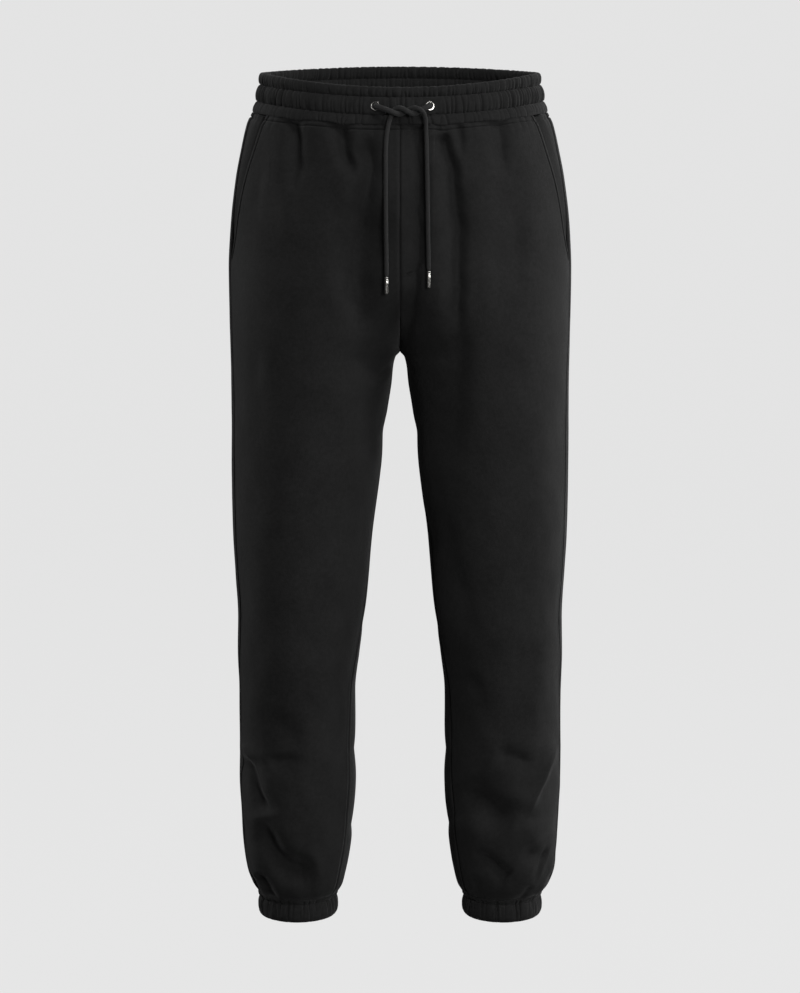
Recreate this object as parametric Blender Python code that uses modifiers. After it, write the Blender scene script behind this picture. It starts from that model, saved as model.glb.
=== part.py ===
"""Jogger sweatpants in the hollow form that they have when worn.

Units are metres with +Z up. The front faces -Y and the wearer's left is +X. The origin is the
centre of the waist, halfway up the waistband at the sides. Tables are in millimetres and degrees.

A point of the cloth is named by its leg, its height and an angle: 0 at the outer side of the leg,
90 at the front, -90 at the back and 180 at the inner side. Above the crotch the two legs' sections
run together and each is cut at the centre plane.
"""
from collections import namedtuple
import math

import bmesh
import bpy
from mathutils import Vector
import numpy as np

MM = 0.001
GAP = 0.3 * MM                # left between pieces at every seam
EDGE = GAP / 2
CLOTH = 2.0 * MM              # brushed fleece
BAND_WALL = 4.0 * MM          # waistband: two layers round an elastic
CUFF_WALL = 3.4 * MM
FACING_WALL = 1.5 * MM
FLY_WALL = 1.0 * MM

WAIST_SEAM = -21.6 * MM
SPLIT_TOP = -165.0 * MM       # where the two thighs begin to part
SPLIT_END_RATE = 0.25         # how fast they still part at the crotch, against an even rate
CROTCH = -306.3 * MM
CUFF_SEAM = -971.0 * MM

LEGS = {"left": 1, "right": -1}
SHARP_ANGLE = 28              # degrees; gathers and cut edges stay crisp

# Columns of a front panel outside the line of the fly's edge and from there to the centre, and
# columns of a back panel.
OUTER_COLUMNS = 9
FLY_COLUMNS = 4
BACK_COLUMNS = 10

# Rows of a panel down the hip, round the fork, just below it, down the thigh and down the shin.
HIP_ROWS = 7
FORK_ROWS = 7
ARCH_HEIGHTS = (-308.5 * MM, -312.0 * MM, -320.0 * MM)
THIGH_ENDS = (-345.0 * MM, -700.0 * MM)
THIGH_ROWS = 9
SHIN_TOP = -722.0 * MM
SHIN_ROWS = 13

# Sections from the waist to the cuff. outer and inner are distances of the leg's two sides from
# the centre plane, front and back are those of its front and back from the plane y = 0.
Section = namedtuple("Section", "z outer inner front back")
SECTIONS = (
    Section(-10, 168.8, 0, 108, 117),
    Section(-21.6, 173.6, 0, 112, 121),
    Section(-36, 180.6, 0, 116, 128),
    Section(-67, 188.2, 0, 120, 138),
    Section(-102, 195.0, 0, 123, 146),
    Section(-155, 201.4, 0, 125, 151),
    Section(-208, 204.1, 0, 124, 152),
    Section(-260, 203.6, 0, 119, 147),
    Section(-306.3, 202.8, 0, 112, 138),
    Section(-330, 202.3, 5.4, 109, 132),
    Section(-378, 202.0, 15.3, 105, 124),
    Section(-427, 202.3, 20.5, 101, 116),
    Section(-475, 202.1, 26.7, 98, 109),
    Section(-524, 201.1, 33.2, 95, 102),
    Section(-573, 198.5, 37.2, 92, 95),
    Section(-622, 195.8, 41.9, 88, 90),
    Section(-672, 196.8, 49.2, 82, 90),
    Section(-721, 195.6, 54.3, 77, 92),
    Section(-771, 195.7, 54.4, 74, 93),
    Section(-821, 196.2, 53.8, 73, 92),
    Section(-872, 194.0, 56.2, 72, 88),
    Section(-897, 192.9, 58.5, 69, 83),
    Section(-922, 190.5, 61.9, 65, 77),
    Section(-947, 186.3, 66.5, 57, 69),
    Section(-960, 182.3, 69.8, 51, 63),
    Section(-971, 175.2, 76.2, 43.5, 54.5),
    Section(-976, 171.5, 79.0, 40, 51),
)
TORSO_FULLNESS = 0.09         # how far a section stands out from an ellipse at 45 degrees
LEG_FULLNESS = 0.04

# Arch of the crotch: how much further from the centre plane the leg's inner side lies there.
Arch = namedtuple("Arch", "z width")
ARCH = (
    Arch(-306.3, 0),
    Arch(-311, 4.6),
    Arch(-318, 5.0),
    Arch(-330, 3.6),
    Arch(-350, 1.2),
    Arch(-378, 0),
)
ARCH_REACH = 40.0 * MM

# The waist dips at the front and rises at the back. Both fade out towards the hip.
WAIST_DIP = 12.0 * MM
WAIST_RISE = 5.6 * MM
DIP_FADE_END = -135.0 * MM

# Seam angles. The side seam lies forward of the outer side and the inseam forward of the inner
# side; the pocket mouth slants from the waist down to the side seam.
SeamAngle = namedtuple("SeamAngle", "z degrees")
SIDE_SEAM = (
    SeamAngle(-10, 10),
    SeamAngle(-190, 11),
    SeamAngle(-306, 17),
    SeamAngle(-430, 20),
    SeamAngle(-600, 21),
    SeamAngle(-760, 15),
    SeamAngle(-980, 14),
)
INSEAM = (
    SeamAngle(-306, 0),
    SeamAngle(-450, 4),
    SeamAngle(-585, 10),
    SeamAngle(-710, 23),
    SeamAngle(-760, 26),
    SeamAngle(-895, 30),
    SeamAngle(-980, 33),
)
POCKET_MOUTH = (
    SeamAngle(-10, 27.5),
    SeamAngle(-56, 24.5),
    SeamAngle(-109, 19.8),
    SeamAngle(-166, 15.8),
    SeamAngle(-194, 12),
)
MOUTH_BOTTOM = -194.0 * MM
MOUTH_LIFT = 1.6 * MM         # how far the front stands off the pocket at its mouth
MOUTH_LIFT_WIDTH = 14.0 * MM

# Folds: straight stretches in the front or back view, below 0 for a trough and above for a ridge.
Fold = namedtuple("Fold", "name face x0 z0 x1 z1 half_width depth")
FOLDS = (
    Fold("waist, right hip", "front", -120, -30, -118, -97, 10, -3.2),
    Fold("waist, right pleat", "front", -63, -30, -56, -86, 9, -3.4),
    Fold("right of the fly", "front", -27, -40, -31, -200, 13, -2.4),
    Fold("on the fly", "front", 23, -40, 21, -215, 11, -2.0),
    Fold("waist, left pleat", "front", 52, -34, 63, -165, 11, -3.8),
    Fold("down the left thigh", "front", 63, -165, 74, -268, 14, -3.2),
    Fold("waist, left hip", "front", 134, -32, 136, -78, 11, -2.4),
    Fold("right groin", "front", -14, -262, -70, -214, 14, -2.0),
    Fold("left groin", "front", 14, -258, 66, -206, 14, -2.0),
    Fold("right knee, inner", "front", -80, -560, -128, -590, 22, -2.2),
    Fold("left knee, inner", "front", 44, -628, 66, -776, 12, -3.4),
    Fold("right shin, upper", "front", -156, -727, -112, -726, 17, -3.2),
    Fold("right shin, middle", "front", -160, -787, -104, -786, 17, -4.2),
    Fold("right ridge", "front", -190, -770, -148, -856, 14, 4.5),
    Fold("right under the ridge", "front", -184, -812, -158, -862, 13, -5.0),
    Fold("right break, outer", "front", -170, -868, -134, -922, 15, -7.5),
    Fold("right break, inner", "front", -134, -922, -100, -912, 14, -6.0),
    Fold("right over the cuff", "front", -176, -928, -153, -968, 9, -4.0),
    Fold("left shin", "front", 112, -786, 156, -788, 17, -4.2),
    Fold("left ridge", "front", 191, -770, 149, -868, 14, 4.5),
    Fold("left break, upper", "front", 75, -824, 118, -853, 15, -6.0),
    Fold("left break, lower", "front", 100, -905, 132, -934, 14, -7.0),
    Fold("left bulge", "front", 158, -905, 176, -925, 15, 3.5),
    Fold("left over the cuff, inner", "front", 86, -934, 97, -968, 9, -4.0),
    Fold("left over the cuff, outer", "front", 152, -948, 149, -968, 9, -3.0),
    Fold("waist, back right", "back", -98, -28, -92, -104, 11, -3.4),
    Fold("waist, back right inner", "back", -46, -24, -42, -84, 10, -2.8),
    Fold("waist, back left inner", "back", 52, -24, 47, -92, 10, -3.0),
    Fold("waist, back left", "back", 108, -28, 104, -96, 11, -3.2),
    Fold("seat seam", "back", 0, -70, 0, -285, 16, -3.0),
    Fold("under the seat, right", "back", -32, -332, -112, -396, 18, -3.2),
    Fold("under the seat, left", "back", 28, -328, 104, -382, 18, -3.2),
    Fold("back of the right knee", "back", -70, -606, -150, -628, 17, -5.5),
    Fold("below the right knee", "back", -168, -668, -92, -698, 18, -5.0),
    Fold("back of the left knee", "back", 62, -600, 146, -620, 17, -5.5),
    Fold("below the left knee", "back", 162, -676, 88, -704, 18, -5.0),
    Fold("right calf break", "back", -166, -806, -98, -850, 16, -6.5),
    Fold("right ankle break", "back", -92, -886, -150, -922, 15, -6.5),
    Fold("left calf break", "back", 164, -814, 92, -846, 16, -6.5),
    Fold("left ankle break", "back", 94, -892, 156, -926, 15, -6.5),
)

# Soft pleats where the leg is gathered into its cuff.
ANKLE_PLEATS = 11
ANKLE_PLEAT_DEPTH = 1.6 * MM
ANKLE_PLEAT_TOP = -935.0 * MM
ANKLE_PLEAT_FULL = -967.0 * MM

# Above the crotch folds leave the centre plane straight forward or back, out to this distance
# from it. Below the crotch this dies out.
CENTRE_REACH = 25.0 * MM
CENTRE_DROP = 12.0 * MM

# Waistband rows: the ground of the band at each row, how far the channel's puff stands out there,
# and how deep its gathers are. Rows with no puff are lines of stitching.
BandRow = namedtuple("BandRow", "z half_width front back dip rise puff gather")
BAND_ROWS = (
    BandRow(22.5, 163.4, 103.6, 113.6, 15.0, 5.8, 0.0, 0.6),
    BandRow(19.0, 163.8, 104.0, 114.0, 14.5, 5.8, 2.0, 1.3),
    BandRow(14.0, 164.3, 104.4, 114.4, 13.4, 5.7, 1.9, 1.3),
    BandRow(9.9, 164.9, 105.0, 115.0, 12.5, 5.6, 0.0, 0.5),
    BandRow(4.6, 165.9, 105.8, 115.8, 12.7, 5.6, 2.7, 1.3),
    BandRow(-4.4, 167.6, 107.2, 117.2, 13.1, 5.6, 2.7, 1.3),
    BandRow(-9.5, 168.9, 108.2, 118.2, 13.4, 5.6, 0.0, 0.5),
    BandRow(-16.0, 171.4, 110.0, 119.6, 12.6, 5.6, 1.6, 1.0),
    BandRow(-21.6, 173.6, 112.0, 121.0, 12.0, 5.6, 0.0, 0.3),
)
BAND_GATHERS = 96
BAND_INNER_ROWS = (22.5, 9.9, -9.5, -21.6)
BAND_INNER_RATIO = 4          # outer columns for each inner column

CuffRow = namedtuple("CuffRow", "z half_width half_depth gather")
CUFF_ROWS = (
    CuffRow(-971.3, 49.0, 48.5, 0.3),
    CuffRow(-977.0, 46.2, 46.0, 0.3),
    CuffRow(-983.5, 47.0, 46.8, 1.3),
    CuffRow(-991.5, 47.0, 46.8, 1.3),
    CuffRow(-996.5, 46.4, 46.2, 0.9),
    CuffRow(-999.0, 44.6, 44.4, 0.2),
)
CUFF_GATHERS = 24
CUFF_INNER_ROWS = (-971.3, -985.0, -999.0)
CUFF_INNER_RATIO = 2
CUFF_CENTRE = (125.5 * MM, 5.5 * MM)

# Mock fly: a placket on the wearer's left of the centre seam with a curved lower end.
FLY_INNER = 0.6 * MM
FLY_GAP = 0.45 * MM           # over the front panel's flat faces
FLY_WIDTH = 37.0 * MM
FLY_CURVE_TOP = -158.0 * MM
FLY_BOTTOM = -204.0 * MM
FLY_LINE = 37.8 * MM          # the front panels have a column of points here
FLY_ROWS = 14

# Pocket facing: seen between the side seam and the mouth, and reaching under the front.
FACING_OVERLAP = 16.0 * MM
FACING_BOTTOM = -206.0 * MM
FACING_NEAR_SEAM = 0.5 * MM
FACING_BELOW_FRONT = CLOTH + 1.1 * MM
FACING_RAMP_START = math.radians(1.75)
FACING_RAMP_END = math.radians(8.75)
FACING_COLUMNS = 5

# Eyelets in the middle channel of the band.
EYELETS = {"right": -27.9 * MM, "left": 33.8 * MM}
EYELET_HEIGHT = -0.4 * MM     # in the band's own height, before its dip
EYELET_FLANGE_RADIUS = 5.5 * MM
EYELET_HOLE_RADIUS = 3.85 * MM
EYELET_BARREL_RADIUS = 4.3 * MM
EYELET_RISE = 1.1 * MM
EYELET_DEPTH = 1.9 * MM
EYELET_SEGMENTS = 20
BORE_RADIUS = EYELET_BARREL_RADIUS + GAP
BORE_DEPTH = EYELET_DEPTH + GAP
BORE_REACH = 4.0 * MM         # of the cutter, out of the band
FLAT_RADIUS = 7.5 * MM        # the band is pressed flat round an eyelet out to here
FLAT_FADE = 14.0 * MM
FLAT_PUFF = 2.2 * MM

# Drawcord: each end leaves its own eyelet, crosses the other end three times in a half knot and
# hangs down. Points run from the eyelet to the tip.
CORD_RADIUS = 2.9 * MM
KNOT_BOTTOM = -36.0 * MM      # above here the cord's points are close together
KNOT_SPACING = 3.9 * MM
TAIL_SPACING = 14.0 * MM
CORD_ROUTES = {
    "right": (
        (-27.9, -105.7, -12.9),
        (-28.1, -107.6, -12.6),
        (-28.2, -109.2, -12.4),
        (-27.2, -112.2, -12.7),
        (-24.6, -115.0, -13.5),
        (-21.0, -117.2, -14.6),
        (-17.4, -118.9, -15.8),
        (-13.6, -120.0, -17.1),
        (-9.6, -120.4, -18.7),
        (-5.5, -119.3, -20.5),
        (-1.0, -117.0, -21.3),
        (3.5, -114.6, -20.2),
        (8.0, -113.6, -17.8),
        (12.0, -115.0, -15.5),
        (16.0, -118.0, -14.5),
        (20.0, -121.1, -15.1),
        (24.0, -122.7, -17.0),
        (27.2, -122.2, -20.6),
        (28.9, -120.6, -26.0),
        (29.5, -118.8, -33.0),
        (29.8, -118.3, -41.0),
        (30.2, -120.0, -54.0),
        (30.7, -122.6, -74.0),
        (31.2, -125.4, -100.0),
        (31.6, -126.9, -122.0),
        (32.0, -128.0, -152.0),
        (32.5, -128.5, -178.0),
        (32.9, -128.5, -199.0),
    ),
    "left": (
        (33.85, -105.1, -12.8),
        (34.05, -107.0, -12.5),
        (34.2, -108.7, -12.3),
        (33.2, -112.0, -12.6),
        (30.8, -114.2, -13.4),
        (27.6, -115.2, -14.9),
        (24.2, -115.6, -17.0),
        (20.0, -115.9, -19.6),
        (16.0, -117.9, -21.0),
        (12.0, -120.0, -20.3),
        (8.0, -120.7, -18.1),
        (3.5, -119.5, -15.8),
        (-1.0, -117.0, -14.7),
        (-5.2, -114.6, -16.0),
        (-8.4, -113.8, -19.2),
        (-10.4, -114.6, -23.6),
        (-12.2, -115.9, -29.5),
        (-14.0, -117.1, -37.5),
        (-15.6, -118.8, -49.0),
        (-16.3, -121.9, -66.0),
        (-16.4, -124.7, -90.0),
        (-16.3, -126.6, -118.0),
        (-16.0, -127.6, -148.0),
        (-15.6, -127.9, -180.0),
        (-15.4, -127.9, -206.0),
    ),
}
TIP_RADIUS = 2.75 * MM
TIP_LENGTH = 19.5 * MM
TIP_SEGMENTS = 14

Finish = namedtuple("Finish", "colour roughness metallic")
BLACK_FLEECE = Finish((0.013, 0.013, 0.014, 1.0), 0.95, 0.0)
BLACK_CORD = Finish((0.018, 0.018, 0.019, 1.0), 0.85, 0.0)
NICKEL = Finish((0.62, 0.62, 0.60, 1.0), 0.22, 1.0)


def clear_scene():
    """Remove every object of the open scene."""
    for item in list(bpy.data.objects):
        bpy.data.objects.remove(item, do_unlink=True)


def new_collection(name):
    """Add a collection to the scene."""
    collection = bpy.data.collections.new(name)
    bpy.context.scene.collection.children.link(collection)
    return collection


def paint(item, finish):
    """Give an object its own Principled material."""
    material = bpy.data.materials.new(item.name + "_finish")
    material.use_nodes = True
    shader = material.node_tree.nodes["Principled BSDF"]
    shader.inputs["Base Color"].default_value = finish.colour
    shader.inputs["Roughness"].default_value = finish.roughness
    shader.inputs["Metallic"].default_value = finish.metallic
    item.data.materials.clear()
    item.data.materials.append(material)


def column_at(rows, column, z):
    """Read one column of a table at height z, on a smooth curve that never overshoots a row."""
    heights = np.array([row.z for row in rows])[::-1] * MM
    values = np.array([getattr(row, column) for row in rows], dtype=float)[::-1]
    steps = np.diff(heights)
    slopes = np.diff(values) / steps
    tangents = np.empty_like(values)
    tangents[0], tangents[-1] = slopes[0], slopes[-1]
    same_way = slopes[:-1] * slopes[1:] > 0
    total = np.where(same_way, slopes[:-1] + slopes[1:], 1.0)
    tangents[1:-1] = np.where(same_way, 2 * slopes[:-1] * slopes[1:] / total, 0.0)
    z = np.clip(z, heights[0], heights[-1])
    at = np.clip(np.searchsorted(heights, z) - 1, 0, len(steps) - 1)
    t = (z - heights[at]) / steps[at]
    return (values[at] * (1 + 2 * t) * (1 - t) ** 2
            + values[at + 1] * t * t * (3 - 2 * t)
            + tangents[at] * steps[at] * t * (1 - t) ** 2
            + tangents[at + 1] * steps[at] * t * t * (t - 1))


def fade(value, start, end):
    """Go smoothly from 0 at start to 1 at end."""
    t = np.clip((value - start) / (end - start), 0.0, 1.0)
    return t * t * (3 - 2 * t)


def split_at(z):
    """Go from 0 where the legs share one section to 1 where each has its own."""
    t = np.clip((SPLIT_TOP - z) / (SPLIT_TOP - CROTCH), 0.0, 1.0)
    return t * t * (3 - 2 * t) + SPLIT_END_RATE * (t ** 3 - t ** 2)


def leg_section(z):
    """Give the centre and half width of a leg's section, its middle and its half depth."""
    outer = column_at(SECTIONS, "outer", z) * MM
    inner = column_at(SECTIONS, "inner", z) * MM
    front = column_at(SECTIONS, "front", z) * MM
    back = column_at(SECTIONS, "back", z) * MM
    half_width = (outer - inner) / (1 + split_at(z))
    return outer - half_width, half_width, (back - front) / 2, (back + front) / 2


def base_point(side, z, angle):
    """Give the point of the smooth leg, without folds. side is 1 for the wearer's left."""
    centre, half_width, middle, half_depth = leg_section(z)
    below_waist = fade(z, SPLIT_TOP, CROTCH)
    fullness = TORSO_FULLNESS + (LEG_FULLNESS - TORSO_FULLNESS) * below_waist
    across, forward = np.cos(angle), np.sin(angle)
    from_inner = np.abs(math.pi - np.abs(angle)) * half_depth
    arch = column_at(ARCH, "width", z) * MM * np.exp(-(from_inner / ARCH_REACH) ** 2)
    x = side * (centre + half_width * across + arch)
    y = middle - half_depth * forward * (1 + fullness * across ** 2)
    drop = np.where(forward > 0, WAIST_DIP, -WAIST_RISE) * forward ** 2
    return np.stack([x, y, z - drop * fade(z, DIP_FADE_END, WAIST_SEAM)], axis=-1)


def outward(point_at, side, z, angle):
    """Give the outward direction of a surface by comparing nearby points."""
    rise, turn = 0.5 * MM, 0.004
    along_z = point_at(side, z + rise, angle) - point_at(side, z - rise, angle)
    along_angle = point_at(side, z, angle + turn) - point_at(side, z, angle - turn)
    normal = side * np.cross(along_z, along_angle)
    return normal / np.linalg.norm(normal, axis=-1, keepdims=True)


def level(normal):
    """Turn an outward direction level, so that folds leave every row at its own height."""
    flat = normal * np.array([1.0, 1.0, 0.0])
    return flat / np.linalg.norm(flat, axis=-1, keepdims=True)


def fold_height(points, forward):
    """Add up the folds at each point: a soft trough or ridge along each stretch of the table."""
    height = np.zeros(points.shape[:-1])
    facing_front = fade(forward, -0.1, 0.3)
    facing_back = fade(-forward, -0.1, 0.3)
    for fold in FOLDS:
        start = np.array([fold.x0, fold.z0]) * MM
        run = np.array([fold.x1, fold.z1]) * MM - start
        offset = points[..., [0, 2]] - start
        along = np.clip(offset @ run / (run @ run), 0.0, 1.0)
        away = np.linalg.norm(offset - along[..., None] * run, axis=-1)
        shape = np.exp(-(away / (fold.half_width * MM)) ** 2)
        facing = facing_front if fold.face == "front" else facing_back
        height += fold.depth * MM * shape * facing
    return height


def cloth_point(side, z, angle):
    """Give the point of the leg's cloth with its folds and its pleats at the ankle."""
    points = base_point(side, z, angle)
    pleats = np.cos(ANKLE_PLEATS * angle) * fade(z, ANKLE_PLEAT_TOP, ANKLE_PLEAT_FULL)
    height = fold_height(points, np.sin(angle)) + ANKLE_PLEAT_DEPTH * pleats
    away = level(outward(base_point, side, z, angle))
    from_centre = fade(np.abs(points[..., 0]), 0.0, CENTRE_REACH)
    below = np.exp(-(np.minimum(z - CROTCH, 0.0) / CENTRE_DROP) ** 2)
    away[..., 0] *= 1 - (1 - from_centre) * below
    return points + height[..., None] * away


def mouth_angle(z):
    """Give the angle of the pocket mouth, which ends on the side seam."""
    return np.radians(column_at(POCKET_MOUTH, "degrees", z))


def front_point(side, z, angle):
    """Give the point of a front panel, which stands off a little along the pocket mouth."""
    from_mouth = (angle - mouth_angle(z)) * leg_section(z)[3]
    stretch = np.clip((z - MOUTH_BOTTOM) / (WAIST_SEAM - MOUTH_BOTTOM), 0.0, 1.0)
    lift = MOUTH_LIFT * np.sin(math.pi * stretch) * np.exp(-(from_mouth / MOUTH_LIFT_WIDTH) ** 2)
    away = level(outward(base_point, side, z, angle))
    return cloth_point(side, z, angle) + lift[..., None] * away


def angle_at(z, x):
    """Give the angle on the front half at which the section is x from the centre plane."""
    centre, half_width = leg_section(z)[:2]
    return np.arccos(np.clip((x - centre) / half_width, -1.0, 1.0))


def edge_turn(z):
    """Give the small angle that moves a side edge by half the seam gap."""
    return EDGE / leg_section(z)[3]


def inner_edge(z, face):
    """Give the angle of a panel's inner edge: the centre plane, then the inseam."""
    inseam = np.radians(column_at(INSEAM, "degrees", z)) * np.where(z < CROTCH, 1.0, 0.0)
    shift = -edge_turn(z) if face == "front" else edge_turn(z)
    at_inseam = math.pi - inseam if face == "front" else math.pi + inseam
    return np.where(z > CROTCH + EDGE, angle_at(z, EDGE), at_inseam + shift)


def panel_heights():
    """List the heights of a leg panel's rows, close together at the crotch and the ankle."""
    hip = np.linspace(WAIST_SEAM - GAP, SPLIT_TOP, HIP_ROWS)
    fine = np.linspace(SPLIT_TOP, CROTCH, 200)
    turns = np.linspace(0.0, math.pi / 2, FORK_ROWS + 1)[1:]
    fork = np.interp(np.sin(turns), split_at(fine), fine)
    thigh = np.linspace(*THIGH_ENDS, THIGH_ROWS)
    shin = np.linspace(SHIN_TOP, CUFF_SEAM, SHIN_ROWS)
    return np.concatenate([hip, [MOUTH_BOTTOM], fork, ARCH_HEIGHTS, thigh, shin])


def grid_angles(start, end, columns):
    """Spread angles evenly between two edges, one row for each height."""
    share = np.linspace(0.0, 1.0, columns + 1)
    return start[:, None] + (end - start)[:, None] * share


def front_angles(z):
    """Place the columns of a front panel: evenly to the line of the fly, then to the centre."""
    seam = np.radians(column_at(SIDE_SEAM, "degrees", z)) + edge_turn(z)
    mouth = np.where(z > MOUTH_BOTTOM, mouth_angle(z), 0.0)
    start, end = np.maximum(seam, mouth), inner_edge(z, "front")
    even = start + (end - start) * OUTER_COLUMNS / (OUTER_COLUMNS + FLY_COLUMNS)
    line = np.where(z > CROTCH, angle_at(z, FLY_LINE), even)
    outer_part = grid_angles(start, line, OUTER_COLUMNS)
    inner_part = grid_angles(line, end, FLY_COLUMNS)
    return np.concatenate([outer_part, inner_part[:, 1:]], axis=1)


def back_angles(z):
    """Place a back panel's columns evenly from the side seam to the centre or the inseam."""
    seam = np.radians(column_at(SIDE_SEAM, "degrees", z)) - edge_turn(z)
    return grid_angles(seam, -inner_edge(z, "back"), BACK_COLUMNS)


def wall_faces(rows, columns):
    """List the quads of an outer grid and of the inner grid behind it."""
    count = rows * columns
    faces = []
    for row in range(rows - 1):
        for column in range(columns - 1):
            a = row * columns + column
            b = a + 1
            c = b + columns
            d = a + columns
            faces.append((a, b, c, d))
            faces.append((count + a, count + d, count + c, count + b))
    return faces


def rim_faces(edge, count):
    """Join a chain of outer points to the inner points behind them."""
    return [(b, a, count + a, count + b) for a, b in zip(edge, edge[1:])]


def add_mesh(name, points, faces, collection):
    """Make a closed mesh object whose faces point out."""
    mesh = bpy.data.meshes.new(name)
    mesh.from_pydata([tuple(point) for point in points], [], faces)
    shape = bmesh.new()
    shape.from_mesh(mesh)
    bmesh.ops.recalc_face_normals(shape, faces=shape.faces)
    shape.to_mesh(mesh)
    shape.free()
    mesh.shade_smooth()
    mesh.set_sharp_from_angle(angle=math.radians(SHARP_ANGLE))
    item = bpy.data.objects.new(name, mesh)
    collection.objects.link(item)
    return item


def add_wall(name, outer, inner, collection):
    """Make a wall of cloth from two grids of points with the same rows and columns."""
    rows, columns = outer.shape[:2]
    count = rows * columns
    index = np.arange(count).reshape(rows, columns)
    border = np.concatenate([index[0], index[1:, -1], index[-1, -2::-1], index[-2::-1, 0]])
    faces = wall_faces(rows, columns) + rim_faces(border.tolist(), count)
    points = np.concatenate([outer.reshape(-1, 3), inner.reshape(-1, 3)])
    return add_mesh(name, points, faces, collection)


def add_panel(leg, face, collection):
    """Make the front or back panel of one leg."""
    side = LEGS[leg]
    z = panel_heights()
    angles = front_angles(z) if face == "front" else back_angles(z)
    point_at = front_point if face == "front" else cloth_point
    heights = np.broadcast_to(z[:, None], angles.shape)
    outer = point_at(side, heights, angles)
    inner = outer - CLOTH * outward(point_at, side, heights, angles)
    paint(add_wall(f"{face}_{leg}", outer, inner, collection), BLACK_FLEECE)


def add_facing(leg, collection):
    """Make the pocket facing, which slips from near the side seam to behind the front panel."""
    side = LEGS[leg]
    z = panel_heights()
    z = np.append(z[z > FACING_BOTTOM], FACING_BOTTOM)
    seam = np.radians(column_at(SIDE_SEAM, "degrees", z)) + edge_turn(z)
    end = np.maximum(mouth_angle(z), seam) + FACING_OVERLAP / leg_section(z)[3]
    angles = grid_angles(seam, end, FACING_COLUMNS)
    heights = np.broadcast_to(z[:, None], angles.shape)
    open_part = fade(mouth_angle(heights) - angles, FACING_RAMP_START, FACING_RAMP_END)
    depth = FACING_BELOW_FRONT + (FACING_NEAR_SEAM - FACING_BELOW_FRONT) * open_part
    normal = outward(cloth_point, side, heights, angles)
    outer = cloth_point(side, heights, angles) - depth[..., None] * normal
    inner = outer - FACING_WALL * normal
    paint(add_wall(f"pocket_facing_{leg}", outer, inner, collection), BLACK_FLEECE)


def fly_bottom(x):
    """Give the height of the fly's lower end: a quarter of an ellipse that ends at the centre."""
    share = np.clip((x - FLY_INNER) / (FLY_WIDTH - FLY_INNER), 0.0, 1.0)
    return FLY_CURVE_TOP + (FLY_BOTTOM - FLY_CURVE_TOP) * np.sqrt(1 - share ** 2)


def add_fly(collection):
    """Make the mock fly from the columns of the front panel beneath it, moved out."""
    side = LEGS["left"]
    top = WAIST_SEAM - 2 * GAP
    hip = (top + FLY_CURVE_TOP) / 2
    half_width = column_at(SECTIONS, "outer", hip) * MM
    lines = half_width * np.cos(front_angles(np.array([hip]))[0, -FLY_COLUMNS - 1:])
    ends = fly_bottom(lines)
    share = np.linspace(0.0, 1.0, FLY_ROWS + 1)[:, None]
    heights = top + (ends - top) * share
    angles = np.stack([front_angles(heights[:, column])[:, column - FLY_COLUMNS - 1]
                       for column in range(FLY_COLUMNS + 1)], axis=1)
    angles[:, 0] = angle_at(heights[:, 0], FLY_WIDTH)
    angles[:, -1] = angle_at(heights[:, -1], FLY_INNER)
    normal = outward(front_point, side, heights, angles)
    inner = front_point(side, heights, angles) + FLY_GAP * normal
    outer = inner + FLY_WALL * normal
    paint(add_wall("mock_fly", outer, inner, collection), BLACK_FLEECE)


def ellipse_ring(centre, half_width, half_depth, z, angle):
    """Give points of an ellipse seen from above, starting at +X and turning to the front."""
    x = centre[0] + half_width * np.cos(angle)
    y = centre[1] - half_depth * np.sin(angle)
    return np.stack(np.broadcast_arrays(x, y, z), axis=-1)


def band_ground(z, angle, inset=0.0):
    """Give the waistband's ground surface, without its puffs and gathers."""
    front = column_at(BAND_ROWS, "front", z) * MM
    back = column_at(BAND_ROWS, "back", z) * MM
    half_width = column_at(BAND_ROWS, "half_width", z) * MM - inset
    half_depth = (front + back) / 2 - inset
    fullness = 1 + TORSO_FULLNESS * np.cos(angle) ** 2
    forward = np.sin(angle)
    dip = column_at(BAND_ROWS, "dip", z) * MM
    rise = column_at(BAND_ROWS, "rise", z) * MM
    height = z - np.where(forward > 0, dip, -rise) * forward ** 2
    return ellipse_ring((0.0, (back - front) / 2), half_width, half_depth * fullness, height, angle)


def near_eyelet(points):
    """Go from 0 on the free band to 1 where it is pressed flat round an eyelet."""
    pressed = np.zeros(points.shape[:-1])
    for x in EYELETS.values():
        centre = eyelet_place(x)[0]
        away = np.linalg.norm(points - centre, axis=-1)
        pressed = np.maximum(pressed, 1 - fade(away, FLAT_RADIUS, FLAT_FADE))
    return pressed


def eyelet_place(x):
    """Give the middle of an eyelet on the band's ground and the direction that it faces."""
    half_width = column_at(BAND_ROWS, "half_width", EYELET_HEIGHT) * MM
    angle = math.acos(x / half_width)
    step = 1 * MM
    turn = 0.01
    centre = band_ground(np.array(EYELET_HEIGHT), angle)
    rise = (band_ground(np.array(EYELET_HEIGHT + step), angle)
            - band_ground(np.array(EYELET_HEIGHT - step), angle))
    round_band = (band_ground(np.array(EYELET_HEIGHT), angle + turn)
                  - band_ground(np.array(EYELET_HEIGHT), angle - turn))
    normal = np.cross(rise, round_band)
    return centre, normal / np.linalg.norm(normal)


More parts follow.
